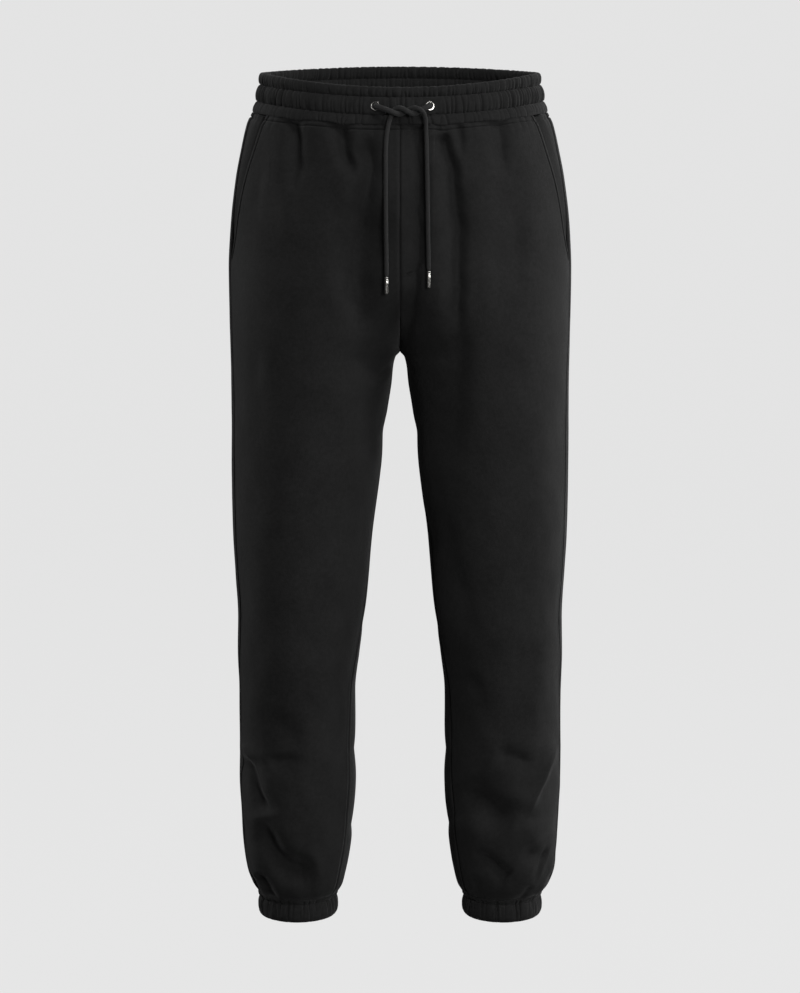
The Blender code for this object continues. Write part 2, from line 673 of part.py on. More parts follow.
def ring_mesh(name, outer, inner, ratio, collection):
    """Close a gathered outer ring and a plain inner ring that has fewer columns."""
    rows, columns = outer.shape[:2]
    inner_rows, inner_columns = inner.shape[:2]
    count = rows * columns
    faces = []
    for row in range(rows - 1):
        for column in range(columns):
            a = row * columns + column
            b = row * columns + (column + 1) % columns
            faces.append((a, b, b + columns, a + columns))
    for row in range(inner_rows - 1):
        for column in range(inner_columns):
            a = count + row * inner_columns + column
            b = count + row * inner_columns + (column + 1) % inner_columns
            faces.append((a, a + inner_columns, b + inner_columns, b))
    last_inner_row = count + (inner_rows - 1) * inner_columns
    for outer_start, inner_start in ((0, count), (count - columns, last_inner_row)):
        for column in range(inner_columns):
            near = inner_start + column
            far = inner_start + (column + 1) % inner_columns
            chain = [outer_start + (column * ratio + k) % columns for k in range(ratio + 1)]
            half = ratio // 2
            faces += [(near, chain[k], chain[k + 1]) for k in range(half)]
            faces.append((near, chain[half], far))
            faces += [(far, chain[k], chain[k + 1]) for k in range(half, ratio)]
    points = np.concatenate([outer.reshape(-1, 3), inner.reshape(-1, 3)])
    return add_mesh(name, points, faces, collection)


def add_waistband(collection, cutters):
    """Make the waistband: three puffed and gathered channels over a plain inside, and 2 bores."""
    columns = 2 * BAND_GATHERS
    angle = np.arange(columns) * 2 * math.pi / columns
    z = np.array([row.z for row in BAND_ROWS])[:, None] * MM
    puff = np.array([row.puff for row in BAND_ROWS])[:, None] * MM
    gather = np.array([row.gather for row in BAND_ROWS])[:, None] * MM
    ground = band_ground(z, angle[None, :])
    crest = np.where(np.arange(columns) % 2 == 0, 1.0, -1.0)[None, :]
    pressed = near_eyelet(ground) * (puff > FLAT_PUFF)
    lift = (puff + gather * crest) * (1 - pressed) + FLAT_PUFF * pressed
    out = np.stack([np.cos(angle), -np.sin(angle), np.zeros(columns)], axis=-1)
    outer = ground + lift[..., None] * out
    inner_z = np.array(BAND_INNER_ROWS)[:, None] * MM
    inner = band_ground(inner_z, angle[None, ::BAND_INNER_RATIO], BAND_WALL)
    band = ring_mesh("waistband", outer, inner, BAND_INNER_RATIO, collection)
    for leg, x in EYELETS.items():
        centre, normal = eyelet_place(x)
        add_bore(band, leg, centre + FLAT_PUFF * normal, normal, cutters)
    paint(band, BLACK_FLEECE)


def add_bore(band, leg, mouth, normal, cutters):
    """Cut the blind hole that an eyelet's barrel and the cord sit in."""
    middle = mouth + normal * (BORE_REACH - BORE_DEPTH) / 2
    bpy.ops.mesh.primitive_cylinder_add(
        vertices=EYELET_SEGMENTS,
        radius=BORE_RADIUS,
        depth=BORE_REACH + BORE_DEPTH,
        location=middle,
    )
    cutter = bpy.context.object
    cutter.name = f"bore_{leg}"
    cutter.rotation_euler = Vector(normal).to_track_quat("Z", "Y").to_euler()
    cutter.hide_render = True
    cutter.display_type = "WIRE"
    move_to(cutter, cutters)
    cut = band.modifiers.new(f"bore_{leg}", "BOOLEAN")
    cut.operation = "DIFFERENCE"
    cut.object = cutter


def move_to(item, collection):
    """Put an object in one collection only."""
    for owner in list(item.users_collection):
        owner.objects.unlink(item)
    collection.objects.link(item)


def add_cuff(leg, collection):
    """Make the elasticated cuff of one leg."""
    side = LEGS[leg]
    columns = 2 * CUFF_GATHERS
    angle = np.arange(columns) * 2 * math.pi / columns
    z = np.array([row.z for row in CUFF_ROWS])[:, None] * MM
    width = np.array([row.half_width for row in CUFF_ROWS])[:, None] * MM
    depth = np.array([row.half_depth for row in CUFF_ROWS])[:, None] * MM
    gather = np.array([row.gather for row in CUFF_ROWS])[:, None] * MM
    lift = gather * np.where(np.arange(columns) % 2 == 0, 1.0, -1.0)[None, :]
    centre = (side * CUFF_CENTRE[0], CUFF_CENTRE[1])
    outer = ellipse_ring(centre, width + lift, depth + lift, z, angle[None, :])
    inner_z = np.array(CUFF_INNER_ROWS)[:, None] * MM
    inner_width = column_at(CUFF_ROWS, "half_width", inner_z) * MM - CUFF_WALL
    inner_depth = column_at(CUFF_ROWS, "half_depth", inner_z) * MM - CUFF_WALL
    inner_angle = angle[None, ::CUFF_INNER_RATIO]
    inner = ellipse_ring(centre, inner_width, inner_depth, inner_z, inner_angle)
    cuff = ring_mesh(f"cuff_{leg}", outer, inner, CUFF_INNER_RATIO, collection)
    paint(cuff, BLACK_FLEECE)


def add_turned(name, profile, segments, collection):
    """Turn a profile of radius and height round Z. It runs down the outer side."""
    mesh = bpy.data.meshes.new(name)
    edges = [(i, i + 1) for i in range(len(profile) - 1)]
    mesh.from_pydata([(radius, 0.0, height) for radius, height in profile], edges, [])
    item = bpy.data.objects.new(name, mesh)
    collection.objects.link(item)
    turn = item.modifiers.new("turn", "SCREW")
    turn.steps = segments
    turn.render_steps = segments
    turn.use_merge_vertices = True
    turn.merge_threshold = 0.01 * MM
    turn.use_smooth_shade = True
    return item


def add_eyelet(leg, collection):
    """Make a nickel eyelet: a rounded flange on the band and a barrel in its bore."""
    rounding = 0.5 * MM
    profile = [
        (EYELET_HOLE_RADIUS, EYELET_RISE - rounding),
        (EYELET_HOLE_RADIUS + rounding, EYELET_RISE),
        (EYELET_FLANGE_RADIUS - rounding, EYELET_RISE - GAP),
        (EYELET_FLANGE_RADIUS, GAP),
        (EYELET_BARREL_RADIUS, GAP),
        (EYELET_BARREL_RADIUS, -EYELET_DEPTH),
        (EYELET_HOLE_RADIUS, -EYELET_DEPTH),
        (EYELET_HOLE_RADIUS, EYELET_RISE - rounding),
    ]
    eyelet = add_turned(f"eyelet_{leg}", profile, EYELET_SEGMENTS, collection)
    centre, normal = eyelet_place(EYELETS[leg])
    eyelet.location = Vector(centre + (FLAT_PUFF + GAP) * normal)
    eyelet.rotation_euler = Vector(normal).to_track_quat("Z", "Y").to_euler()
    paint(eyelet, NICKEL)


def smooth_route(route):
    """Read points from a smooth curve through a route, close together in the knot."""
    points = np.array(route) * MM
    padded = np.vstack([2 * points[0] - points[1], points, 2 * points[-1] - points[-2]])
    fine = []
    for before, start, end, after in zip(padded, padded[1:], padded[2:], padded[3:]):
        for t in np.linspace(0.0, 1.0, 12, endpoint=False):
            fine.append(0.5 * (2 * start + (end - before) * t
                               + (2 * before - 5 * start + 4 * end - after) * t ** 2
                               + (3 * start - before - 3 * end + after) * t ** 3))
    fine.append(points[-1])
    fine = np.array(fine)
    spacing = np.where(fine[1:, 2] > KNOT_BOTTOM, KNOT_SPACING, TAIL_SPACING)
    steps = np.linalg.norm(np.diff(fine, axis=0), axis=1) / spacing
    run = np.concatenate([[0.0], np.cumsum(steps)])
    stations = np.linspace(0.0, run[-1], round(run[-1]) + 1)
    return np.stack([np.interp(stations, run, fine[:, axis]) for axis in range(3)], axis=-1)


def add_cord(leg, collection):
    """Make one end of the drawcord as a round tube along its route."""
    curve = bpy.data.curves.new(f"drawcord_{leg}", "CURVE")
    curve.dimensions = "3D"
    curve.bevel_depth = CORD_RADIUS
    curve.bevel_resolution = 2
    curve.use_fill_caps = True
    points = smooth_route(CORD_ROUTES[leg])
    spline = curve.splines.new("POLY")
    spline.points.add(len(points) - 1)
    for knot, point in zip(spline.points, points):
        knot.co = (*point, 1.0)
    cord = bpy.data.objects.new(f"drawcord_{leg}", curve)
    collection.objects.link(cord)
    paint(cord, BLACK_CORD)


def add_tip(leg, collection):
    """Make the metal tip on one end of the drawcord, in line with the cord's last stretch."""
    route = np.array(CORD_ROUTES[leg]) * MM
    last_stretch = route[-1] - route[-2]
    down = last_stretch / np.linalg.norm(last_stretch)
    rounding = 0.5 * MM
    profile = [
        (0.0, 0.0),
        (TIP_RADIUS - rounding, 0.0),
        (TIP_RADIUS, -rounding),
        (TIP_RADIUS, -TIP_LENGTH + rounding),
        (TIP_RADIUS - rounding, -TIP_LENGTH),
        (0.0, -TIP_LENGTH),
    ]
    tip = add_turned(f"cord_tip_{leg}", profile, TIP_SEGMENTS, collection)
    tip.location = Vector(route[-1] + GAP * down)
    tip.rotation_euler = Vector(-down).to_track_quat("Z", "Y").to_euler()
    paint(tip, NICKEL)


clear_scene()
parts = new_collection("jogger_sweatpants")
cutters = new_collection("cutters")
add_waistband(parts, cutters)
for leg_name in LEGS:
    add_panel(leg_name, "front", parts)
    add_panel(leg_name, "back", parts)
    add_facing(leg_name, parts)
    add_cuff(leg_name, parts)
    add_eyelet(leg_name, parts)
    add_cord(leg_name, parts)
    add_tip(leg_name, parts)
add_fly(parts)
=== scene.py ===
from collections import namedtuple
import math

import bpy
import numpy as np
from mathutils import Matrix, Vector


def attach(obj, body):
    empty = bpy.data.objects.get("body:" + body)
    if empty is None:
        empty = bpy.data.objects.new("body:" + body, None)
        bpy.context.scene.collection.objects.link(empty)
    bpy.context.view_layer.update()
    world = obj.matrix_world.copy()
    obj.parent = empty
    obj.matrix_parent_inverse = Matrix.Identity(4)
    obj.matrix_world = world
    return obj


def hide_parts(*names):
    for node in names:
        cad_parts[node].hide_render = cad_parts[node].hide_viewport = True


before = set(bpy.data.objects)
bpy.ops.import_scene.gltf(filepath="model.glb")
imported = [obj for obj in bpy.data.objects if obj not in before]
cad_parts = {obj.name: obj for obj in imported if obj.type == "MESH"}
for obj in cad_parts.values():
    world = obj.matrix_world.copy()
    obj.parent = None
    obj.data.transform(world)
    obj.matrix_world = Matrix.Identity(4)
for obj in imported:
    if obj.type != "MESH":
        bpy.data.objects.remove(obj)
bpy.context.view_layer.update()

# ---------------------------------------------------------------------------------------------
# Camera. It stands 3.5 m in front of the garment and nine degrees above its middle, with a long
# lens, so the far edge of the waist shows over the near one.

camera = bpy.data.cameras.new("camera")
camera.sensor_fit = "VERTICAL"
camera.sensor_height = 36.0
camera.sensor_width = 36.0
camera.lens = 105.5
viewpoint = bpy.data.objects.new("camera", camera)
viewpoint.location = (0.0, -3.4569, 0.0667)
viewpoint.rotation_euler = (math.radians(81.0), 0.0, 0.0)
bpy.context.scene.collection.objects.link(viewpoint)
bpy.context.scene.camera = viewpoint

# ---------------------------------------------------------------------------------------------
# Drawcord. A round braided cotton cord, 6.1 mm thick, dyed black. Each end comes out of its own
# eyelet, crosses the other end three times in a half knot and hangs down into a metal tip.

MM = 0.001
CORD_RADIUS = 3.05 * MM
CORD_FLUFF = 0.1 * MM          # of the strands' crowns, over the radius
CORD_SLIM = 0.6 * MM           # the ends hang straight, which draws the braid thinner
CORD_SLIMS = (40 * MM, 90 * MM)  # between these distances from the eyelet
CORD_STRANDS = 8               # strands that run each way round the cord
STRAND_PITCH = 2.7 * MM        # along the cord from one strand to the next
STRAND_RELIEF = 0.7 * MM
CORD_STEP = 0.7 * MM
CORD_SIDES = 56
CORD_IN_TIP = 1.8 * MM         # radius of the cord where the tip squeezes it
CORD_TAPER = 5.0 * MM          # length over which it narrows to that
CORD_ROUTES = {                # millimetres, from the eyelet to the tip
    "right": (
        (-27.9, -105.7, -12.9), (-28.1, -107.6, -12.6), (-28.2, -109.2, -12.4),
        (-27.2, -112.2, -12.7), (-24.6, -115, -13.5), (-21, -117.2, -14.6), (-17.4, -118.9, -15.8),
        (-13.6, -120, -17.1), (-9.6, -120.4, -18.7), (-5.5, -119.3, -20.5), (-1, -117, -21.3),
        (3.5, -114.6, -20.2), (8, -113.6, -17.8), (12, -115, -15.5), (16, -118, -14.5),
        (20, -121.1, -15.1), (24, -122.7, -17), (27.2, -122.2, -20.6), (28.9, -120.6, -26),
        (29.5, -118.8, -33), (29.8, -118.3, -41), (30.2, -120, -54), (30.7, -122.6, -74),
        (31.2, -125.4, -100), (31.6, -126.9, -122), (32, -128, -152), (32.5, -128.5, -178),
        (32.9, -128.5, -199),
    ),
    "left": (
        (33.85, -105.1, -12.8), (34.05, -107, -12.5), (34.2, -108.7, -12.3), (33.2, -112, -12.6),
        (30.8, -114.2, -13.4), (27.6, -115.2, -14.9), (24.2, -115.6, -17), (20, -115.9, -19.6),
        (16, -117.9, -21), (12, -120, -20.3), (8, -120.7, -18.1), (3.5, -119.5, -15.8),
        (-1, -117, -14.7), (-5.2, -114.6, -16), (-8.4, -113.8, -19.2), (-10.4, -114.6, -23.6),
        (-12.2, -115.9, -29.5), (-14, -117.1, -37.5), (-15.6, -118.8, -49), (-16.3, -121.9, -66),
        (-16.4, -124.7, -90), (-16.3, -126.6, -118), (-16, -127.6, -148), (-15.6, -127.9, -180),
        (-15.4, -127.9, -206),
    ),
}


def run_along(points):
    """Measure a line of points: the distance along it from its first point to each."""
    return np.concatenate([[0.0], np.cumsum(np.linalg.norm(np.diff(points, axis=0), axis=-1))])


def read_line(points, run, stations):
    """Read the points at some distances along a line, straight between its own points."""
    return np.stack([np.interp(stations, run, column) for column in points.T], axis=-1)


def together(*parts):
    """Stretch arrays to one shape and join them, one value of each to a point or a face."""
    return np.stack(np.broadcast_arrays(*parts), axis=-1)


def full_turn(count):
    """Give so many angles, evenly round a circle."""
    return np.arange(count) * 2 * math.pi / count


def smooth_line(points, step):
    """Read points a step apart from a curve through the given ones: between two of them it is the
    cubic whose slope at each end is half the way between that end's neighbours."""
    points = np.asarray(points, dtype=float)
    padded = np.vstack([2 * points[0] - points[1], points, 2 * points[-1] - points[-2]])
    before, start, end, after = (padded[k:k + len(points) - 1, None] for k in range(4))
    t = np.linspace(0.0, 1.0, 40, endpoint=False)[None, :, None]
    curve = 0.5 * (2 * start + (end - before) * t
                   + (2 * before - 5 * start + 4 * end - after) * t ** 2
                   + (3 * start - before - 3 * end + after) * t ** 3)
    curve = np.vstack([curve.reshape(-1, points.shape[1]), points[-1]])
    run = run_along(curve)
    return read_line(curve, run, np.linspace(0.0, run[-1], max(2, round(run[-1] / step) + 1)))


def unit(vectors):
    """Divide each vector by its own length."""
    return vectors / np.linalg.norm(vectors, axis=-1, keepdims=True)


def fade(value, start, end):
    """Go from 0 at start to 1 at end along the curve 3 t squared minus 2 t cubed."""
    t = np.clip((value - start) / (end - start), 0.0, 1.0)
    return t * t * (3 - 2 * t)


def tube(line, radius, angle):
    """Carry a ring along a line: each point is the line's point plus the radius times the cosine
    of the angle along one cross direction and times its sine along the other."""
    forward = unit(np.gradient(line, axis=0))
    across = unit(np.cross(forward, np.array([0.0, 1.0, 1.0])))
    up = np.cross(across, forward)
    ring = (np.cos(angle)[None, :, None] * across[:, None]
            + np.sin(angle)[None, :, None] * up[:, None])
    return line[:, None] + radius[..., None] * ring


def braid(along, angle):
    """Height of the strands, 0 to 1. Two sets of helices cut the cord into diamonds. In every
    second diamond one set lies on top, and its strand is a half sine across itself."""
    turn = CORD_STRANDS * angle[None, :] / (2 * math.pi)
    one_way = turn + along[:, None] / STRAND_PITCH
    other_way = turn - along[:, None] / STRAND_PITCH
    first_on_top = (np.floor(one_way) + np.floor(other_way)) % 2 == 0
    over = np.where(first_on_top, one_way, other_way) % 1.0
    under = np.where(first_on_top, other_way, one_way) % 1.0
    return np.sin(math.pi * over) ** 0.6 * (0.55 + 0.45 * np.sin(math.pi * under))


def grid_quads(rows, columns, wraps=False):
    """List the four corners of each cell of a grid of points, row by row."""
    row = np.arange(rows - 1)[:, None]
    column = np.arange(columns if wraps else columns - 1)[None, :]
    beside = (column + 1) % columns
    return together(row * columns + column, row * columns + beside,
                    (row + 1) * columns + beside, (row + 1) * columns + column).reshape(-1, 4)


def tube_faces(rows, sides):
    """List the faces of a tube of rings, and the triangles from its first and last ring to two
    more points, which are numbered after the rings."""
    ring = np.arange(sides)
    beside = (ring + 1) % sides
    last, first_middle = (rows - 1) * sides, rows * sides
    ends = np.concatenate([together(beside, ring, first_middle),
                           together(last + ring, last + beside, first_middle + 1)])
    return grid_quads(rows, sides, wraps=True), ends


def add_piece(name, points, quads, triangles=(), cloth=None):
    """Make a mesh object from arrays of points and faces. cloth gives the place on the flat cloth,
    in metres, of each point or of each face's corner, which becomes the piece's UV map."""
    points = np.asarray(points, dtype=np.float32).reshape(-1, 3)
    quads = np.asarray(quads, dtype=np.int32).reshape(-1, 4)
    triangles = np.asarray(triangles, dtype=np.int32).reshape(-1, 3)
    loops = np.concatenate([quads.ravel(), triangles.ravel()])
    starts = np.concatenate([np.arange(len(quads)) * 4,
                             len(quads) * 4 + np.arange(len(triangles)) * 3])
    mesh = bpy.data.meshes.new(name)
    mesh.vertices.add(len(points))
    mesh.vertices.foreach_set("co", points.ravel())
    mesh.loops.add(len(loops))
    mesh.loops.foreach_set("vertex_index", loops)
    mesh.polygons.add(len(starts))
    mesh.polygons.foreach_set("loop_start", starts.astype(np.int32))
    mesh.update(calc_edges=True)
    mesh.shade_smooth()
    if cloth is not None:
        layer = mesh.uv_layers.new(name="cloth")
        cloth = np.asarray(cloth, dtype=np.float32)
        corners = cloth if len(cloth) == len(loops) else cloth[loops]
        layer.data.foreach_set("uv", corners.ravel())
    piece = bpy.data.objects.new(name, mesh)
    bpy.context.scene.collection.objects.link(piece)
    return piece


def closed_tube(name, rings):
    """Join rings of points into a tube and close each end on its middle."""
    points = np.concatenate([rings.reshape(-1, 3), rings[[0, -1]].mean(axis=1)])
    return add_piece(name, points, *tube_faces(*rings.shape[:2]))


def linear(code):
    """Turn an sRGB hex value into the linear colour that shaders use."""
    values = [int(code[k:k + 2], 16) / 255 for k in (0, 2, 4)]
    curve = [v / 12.92 if v <= 0.04045 else ((v + 0.055) / 1.055) ** 2.4 for v in values]
    return (*curve, 1.0)


def feed(tree, target, inputs):
    """Give each input of a node its value, or the socket that feeds it."""
    for socket, value in inputs.items():
        if isinstance(value, bpy.types.NodeSocket):
            tree.links.new(value, target.inputs[socket])
        else:
            target.inputs[socket].default_value = value


def node(tree, kind, inputs, **settings):
    """Add a node with its settings and inputs."""
    made = tree.nodes.new(kind)
    for name, value in settings.items():
        setattr(made, name, value)
    feed(tree, made, inputs)
    return made


def new_material(name):
    """Add a material and give back its node tree and its Principled shader."""
    material = bpy.data.materials.new(name)
    material.use_nodes = True
    return material, material.node_tree, material.node_tree.nodes["Principled BSDF"]


# Braided cotton: dull, a little fluffy, so it has a soft sheen and no highlights.
braided_cotton, tree, shader = new_material("braided_cotton")
place = node(tree, "ShaderNodeTexCoord", {}).outputs["Object"]
fibres = node(tree, "ShaderNodeTexNoise", {"Vector": place, "Scale": 2600.0, "Detail": 3.0})
patches = node(tree, "ShaderNodeTexNoise", {"Vector": place, "Scale": 420.0, "Detail": 2.0})
shade = node(tree, "ShaderNodeMix", {0: patches.outputs["Fac"], 6: linear("1d1d1d"),
                                     7: linear("323232")}, data_type="RGBA")
fluff = node(tree, "ShaderNodeBump", {"Height": fibres.outputs["Fac"], "Strength": 0.8,
                                      "Distance": 0.35 * MM})
feed(tree, shader, {"Base Color": shade.outputs[2], "Normal": fluff.outputs["Normal"],
                    "Roughness": 0.85, "Specular IOR Level": 0.25, "Sheen Weight": 0.12,
                    "Sheen Roughness": 0.5})

cord_lines = {}
for leg, route in CORD_ROUTES.items():
    line = smooth_line(np.array(route) * MM, CORD_STEP)
    along = np.arange(len(line)) * CORD_STEP
    angle = full_turn(CORD_SIDES)
    to_tip = np.clip((along[-1] - along) / CORD_TAPER, 0.0, 1.0)[:, None]
    slim = CORD_SLIM * fade(along, *CORD_SLIMS)[:, None]
    wide = CORD_RADIUS + CORD_FLUFF - slim
    full = CORD_IN_TIP + (wide - CORD_IN_TIP) * (1 - (1 - to_tip) ** 2)
    radius = full - STRAND_RELIEF * (1 - braid(along, angle)) * np.minimum(1.0, 0.3 + to_tip)
    cord_lines[leg] = line
    cord = closed_tube(f"braided_drawcord_{leg}", tube(line, radius, angle))
    cord.data.materials.append(braided_cotton)
    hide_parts(f"drawcord_{leg}")
    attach(cord, "root")

# ---------------------------------------------------------------------------------------------
# Tips of the drawcord. Each is a drawn tube of nickel-plated brass, 4.9 mm thick and 19.5 mm
# long, slipped over the cord's end and pinched tight by two shallow grooves.

TIP_RADIUS = 2.45 * MM
TIP_SIDES = 48
TIP_START = 0.3 * MM           # past the end of the cord's line
TIP_PROFILE = (                # millimetres from the tip's upper end, share of its radius
    (0.6, 0.62), (0.25, 0.80), (0.0, 0.86), (0.0, 0.92), (0.18, 0.98), (0.5, 1.0), (1.6, 1.0),
    (1.95, 0.955), (2.3, 0.955), (2.65, 1.0), (3.6, 1.0), (3.95, 0.955), (4.3, 0.955),
    (4.65, 1.0), (8.0, 1.005), (12.0, 1.005), (16.0, 1.0), (18.6, 1.0), (19.1, 0.97),
    (19.4, 0.90), (19.5, 0.80), (19.5, 0.40),
)


def turned(profile, start, axis, sides):
    """Turn a profile of distance along an axis and radius round that axis."""
    axis = unit(np.asarray(axis, dtype=float))
    across = unit(np.cross(axis, np.array([1.0, 0.3, 0.2])))
    up = np.cross(axis, across)
    angle = full_turn(sides)
    ring = np.cos(angle)[:, None] * across + np.sin(angle)[:, None] * up
    return start + profile[:, 0, None, None] * axis + profile[:, 1, None, None] * ring


# Nickel plate, polished: nearly white metal with sharp highlights, and the fine scratches and
# finger marks of a part that has been handled.
nickel_plate, tree, shader = new_material("nickel_plate")
place = node(tree, "ShaderNodeTexCoord", {}).outputs["Object"]
marks = node(tree, "ShaderNodeTexNoise", {"Vector": place, "Scale": 900.0, "Detail": 4.0})
dull = node(tree, "ShaderNodeMapRange", {"Value": marks.outputs["Fac"], "From Min": 0.3,
                                         "From Max": 0.7, "To Min": 0.15, "To Max": 0.20})
feed(tree, shader, {"Roughness": dull.outputs["Result"], "Base Color": linear("bab8b4"),
                    "Metallic": 1.0})

for leg, line in cord_lines.items():
    down = unit(line[-1] - line[-8])
    profile = np.array(TIP_PROFILE) * np.array([MM, TIP_RADIUS])
    start = line[-1] + TIP_START * down
    tip = closed_tube(f"metal_tip_{leg}", turned(profile, start, down, TIP_SIDES))
    tip.data.materials.append(nickel_plate)
    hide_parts(f"cord_tip_{leg}")
    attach(tip, "root")

# ---------------------------------------------------------------------------------------------
# Eyelets. Each is stamped from brass sheet and nickel plated: a rolled flange 10 mm across that
# grips the middle channel of the waistband, round a barrel that lines the hole.

EYELET_SIDES = 64
Eyelet = namedtuple("Eyelet", "seat axis")
EYELETS = {
    "right": Eyelet((-28.095, -107.427, -12.63), (-0.0887, -0.9854, 0.1456)),
    "left": Eyelet((34.039, -106.806, -12.46), (0.1085, -0.9833, 0.1458)),
}
EYELET_PROFILE = (             # millimetres above the cloth, millimetres from the axis
    (-2.1, 4.0), (-1.9, 3.97), (0.45, 3.97), (0.74, 4.01), (0.88, 4.1), (0.93, 4.2),
    (0.93, 4.28), (0.92, 4.38), (0.87, 4.85), (0.86, 4.93), (0.8, 5.03), (0.6, 5.12),
    (0.2, 5.15), (-0.15, 5.1), (-0.25, 4.9), (-0.25, 4.45), (-1.9, 4.35), (-2.1, 4.3),
)

for leg, eyelet in EYELETS.items():
    rings = turned(np.array(EYELET_PROFILE) * MM, np.array(eyelet.seat) * MM, eyelet.axis,
                   EYELET_SIDES)
    quads = grid_quads(len(rings) + 1, EYELET_SIDES, wraps=True) % (len(rings) * EYELET_SIDES)
    ring = add_piece(f"nickel_eyelet_{leg}", rings, quads[:, ::-1])
    ring.data.materials.append(nickel_plate)
    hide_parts(f"eyelet_{leg}")
    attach(ring, "root")

# ---------------------------------------------------------------------------------------------
# Leg panels. Two fronts and two backs are cut from black cotton fleece, brushed on both sides
# and about 2 mm thick, and sewn together at the side seams, the inseams and the centre seams.

WAIST_SEAM = -21.6 * MM
SPLIT_TOP = -165.0 * MM
SPLIT_END_RATE = 0.25
CROTCH = -306.3 * MM
CUFF_SEAM = -971.0 * MM
FLEECE = 2.0 * MM
PANEL_INSIDE = 1.3 * MM
COARSE = 4                     # rows and columns of a panel's outside to one of its inside
PANEL_COLUMNS = 200
THIGH_ROWS = 113
SHIN_ROWS = 122
THIGH_ROUND = 110.0 * MM       # mean radius of the upper leg
LEGS = {"left": 1, "right": -1}


def table(columns, *rows):
    """Name the columns of a table's rows."""
    row_type = namedtuple("Row", columns)
    return [row_type(*row) for row in rows]


# Distances of the leg's outer and inner side from the centre plane, and of its front and back
# from the plane y = 0, at heights from the waist to the cuff, all in millimetres.
SECTIONS = table(
    "z outer inner front back",
    (-10, 168.8, 0, 108, 117), (-21.6, 173.6, 0, 112, 121), (-36, 180.6, 0, 116, 128),
    (-67, 188.2, 0, 120, 138), (-102, 195, 0, 123, 146), (-155, 201.4, 0, 125, 151),
    (-208, 204.1, 0, 124, 152), (-260, 203.6, 0, 119, 147), (-306.3, 202.8, 0, 112, 138),
    (-330, 202.3, 5.4, 109, 132), (-378, 202, 15.3, 105, 124), (-427, 202.3, 20.5, 101, 116),
    (-475, 202.1, 26.7, 98, 109), (-524, 201.1, 33.2, 95, 102), (-573, 198.5, 37.2, 92, 95),
    (-622, 195.8, 41.9, 88, 90), (-672, 196.8, 49.2, 82, 90), (-721, 195.6, 54.3, 77, 92),
    (-771, 195.7, 54.4, 74, 93), (-821, 196.2, 53.8, 73, 92), (-872, 194, 56.2, 72, 88),
    (-897, 192.9, 58.5, 69, 83), (-922, 190.5, 61.9, 65, 77), (-947, 186.3, 66.5, 57, 69),
    (-960, 182.3, 69.8, 51, 63), (-971, 175.2, 76.2, 43.5, 54.5), (-976, 171.5, 79, 40, 51))
TORSO_FULLNESS = 0.09          # how far a section stands out from an ellipse between its ends
LEG_FULLNESS = 0.04

# The arch between the legs: how far the inner side alone is held off the centre plane.
ARCH = table(
    "z width",
    (-306.3, 0), (-311, 4.6), (-318, 5), (-330, 3.6), (-350, 1.2), (-378, 0))
ARCH_REACH = 40.0 * MM
WAIST_DIP = 12.0 * MM          # of the front
WAIST_RISE = 5.6 * MM          # of the back
DIP_FADE_END = -135.0 * MM

# Angles round the leg: 0 at its outer side, 90 at the front, 180 at its inner side.
SIDE_SEAM = table(
    "z degrees",
    (-10, 10), (-190, 11), (-306, 17), (-430, 20), (-600, 21), (-760, 15), (-980, 14))
INSEAM = table(
    "z degrees",
    (-306, 0), (-450, 4), (-585, 10), (-710, 23), (-760, 26), (-895, 30), (-980, 33))
POCKET_MOUTH = table(
    "z degrees",
    (-10, 27.5), (-56, 24.5), (-109, 19.8), (-166, 15.8), (-194, 12))
MOUTH_BOTTOM = -194.0 * MM
MOUTH_LIFT = 1.6 * MM          # how far the front stands off the pocket at its mouth
MOUTH_LIFT_WIDTH = 14.0 * MM
SIDE_SHARE = 0.28              # of the way out that leads to the side, the rest to the front
CREASE_ROUND = 0.9 * MM        # at the bottom of a crease
CREASE_STEP = 7.0 * MM         # along its line
CREASE_SWELL = 0.18            # share by which its width comes and goes
CREASE_REACH = 3.4             # half widths from its line
WANDER = 0.9 * MM              # of a crease off its line

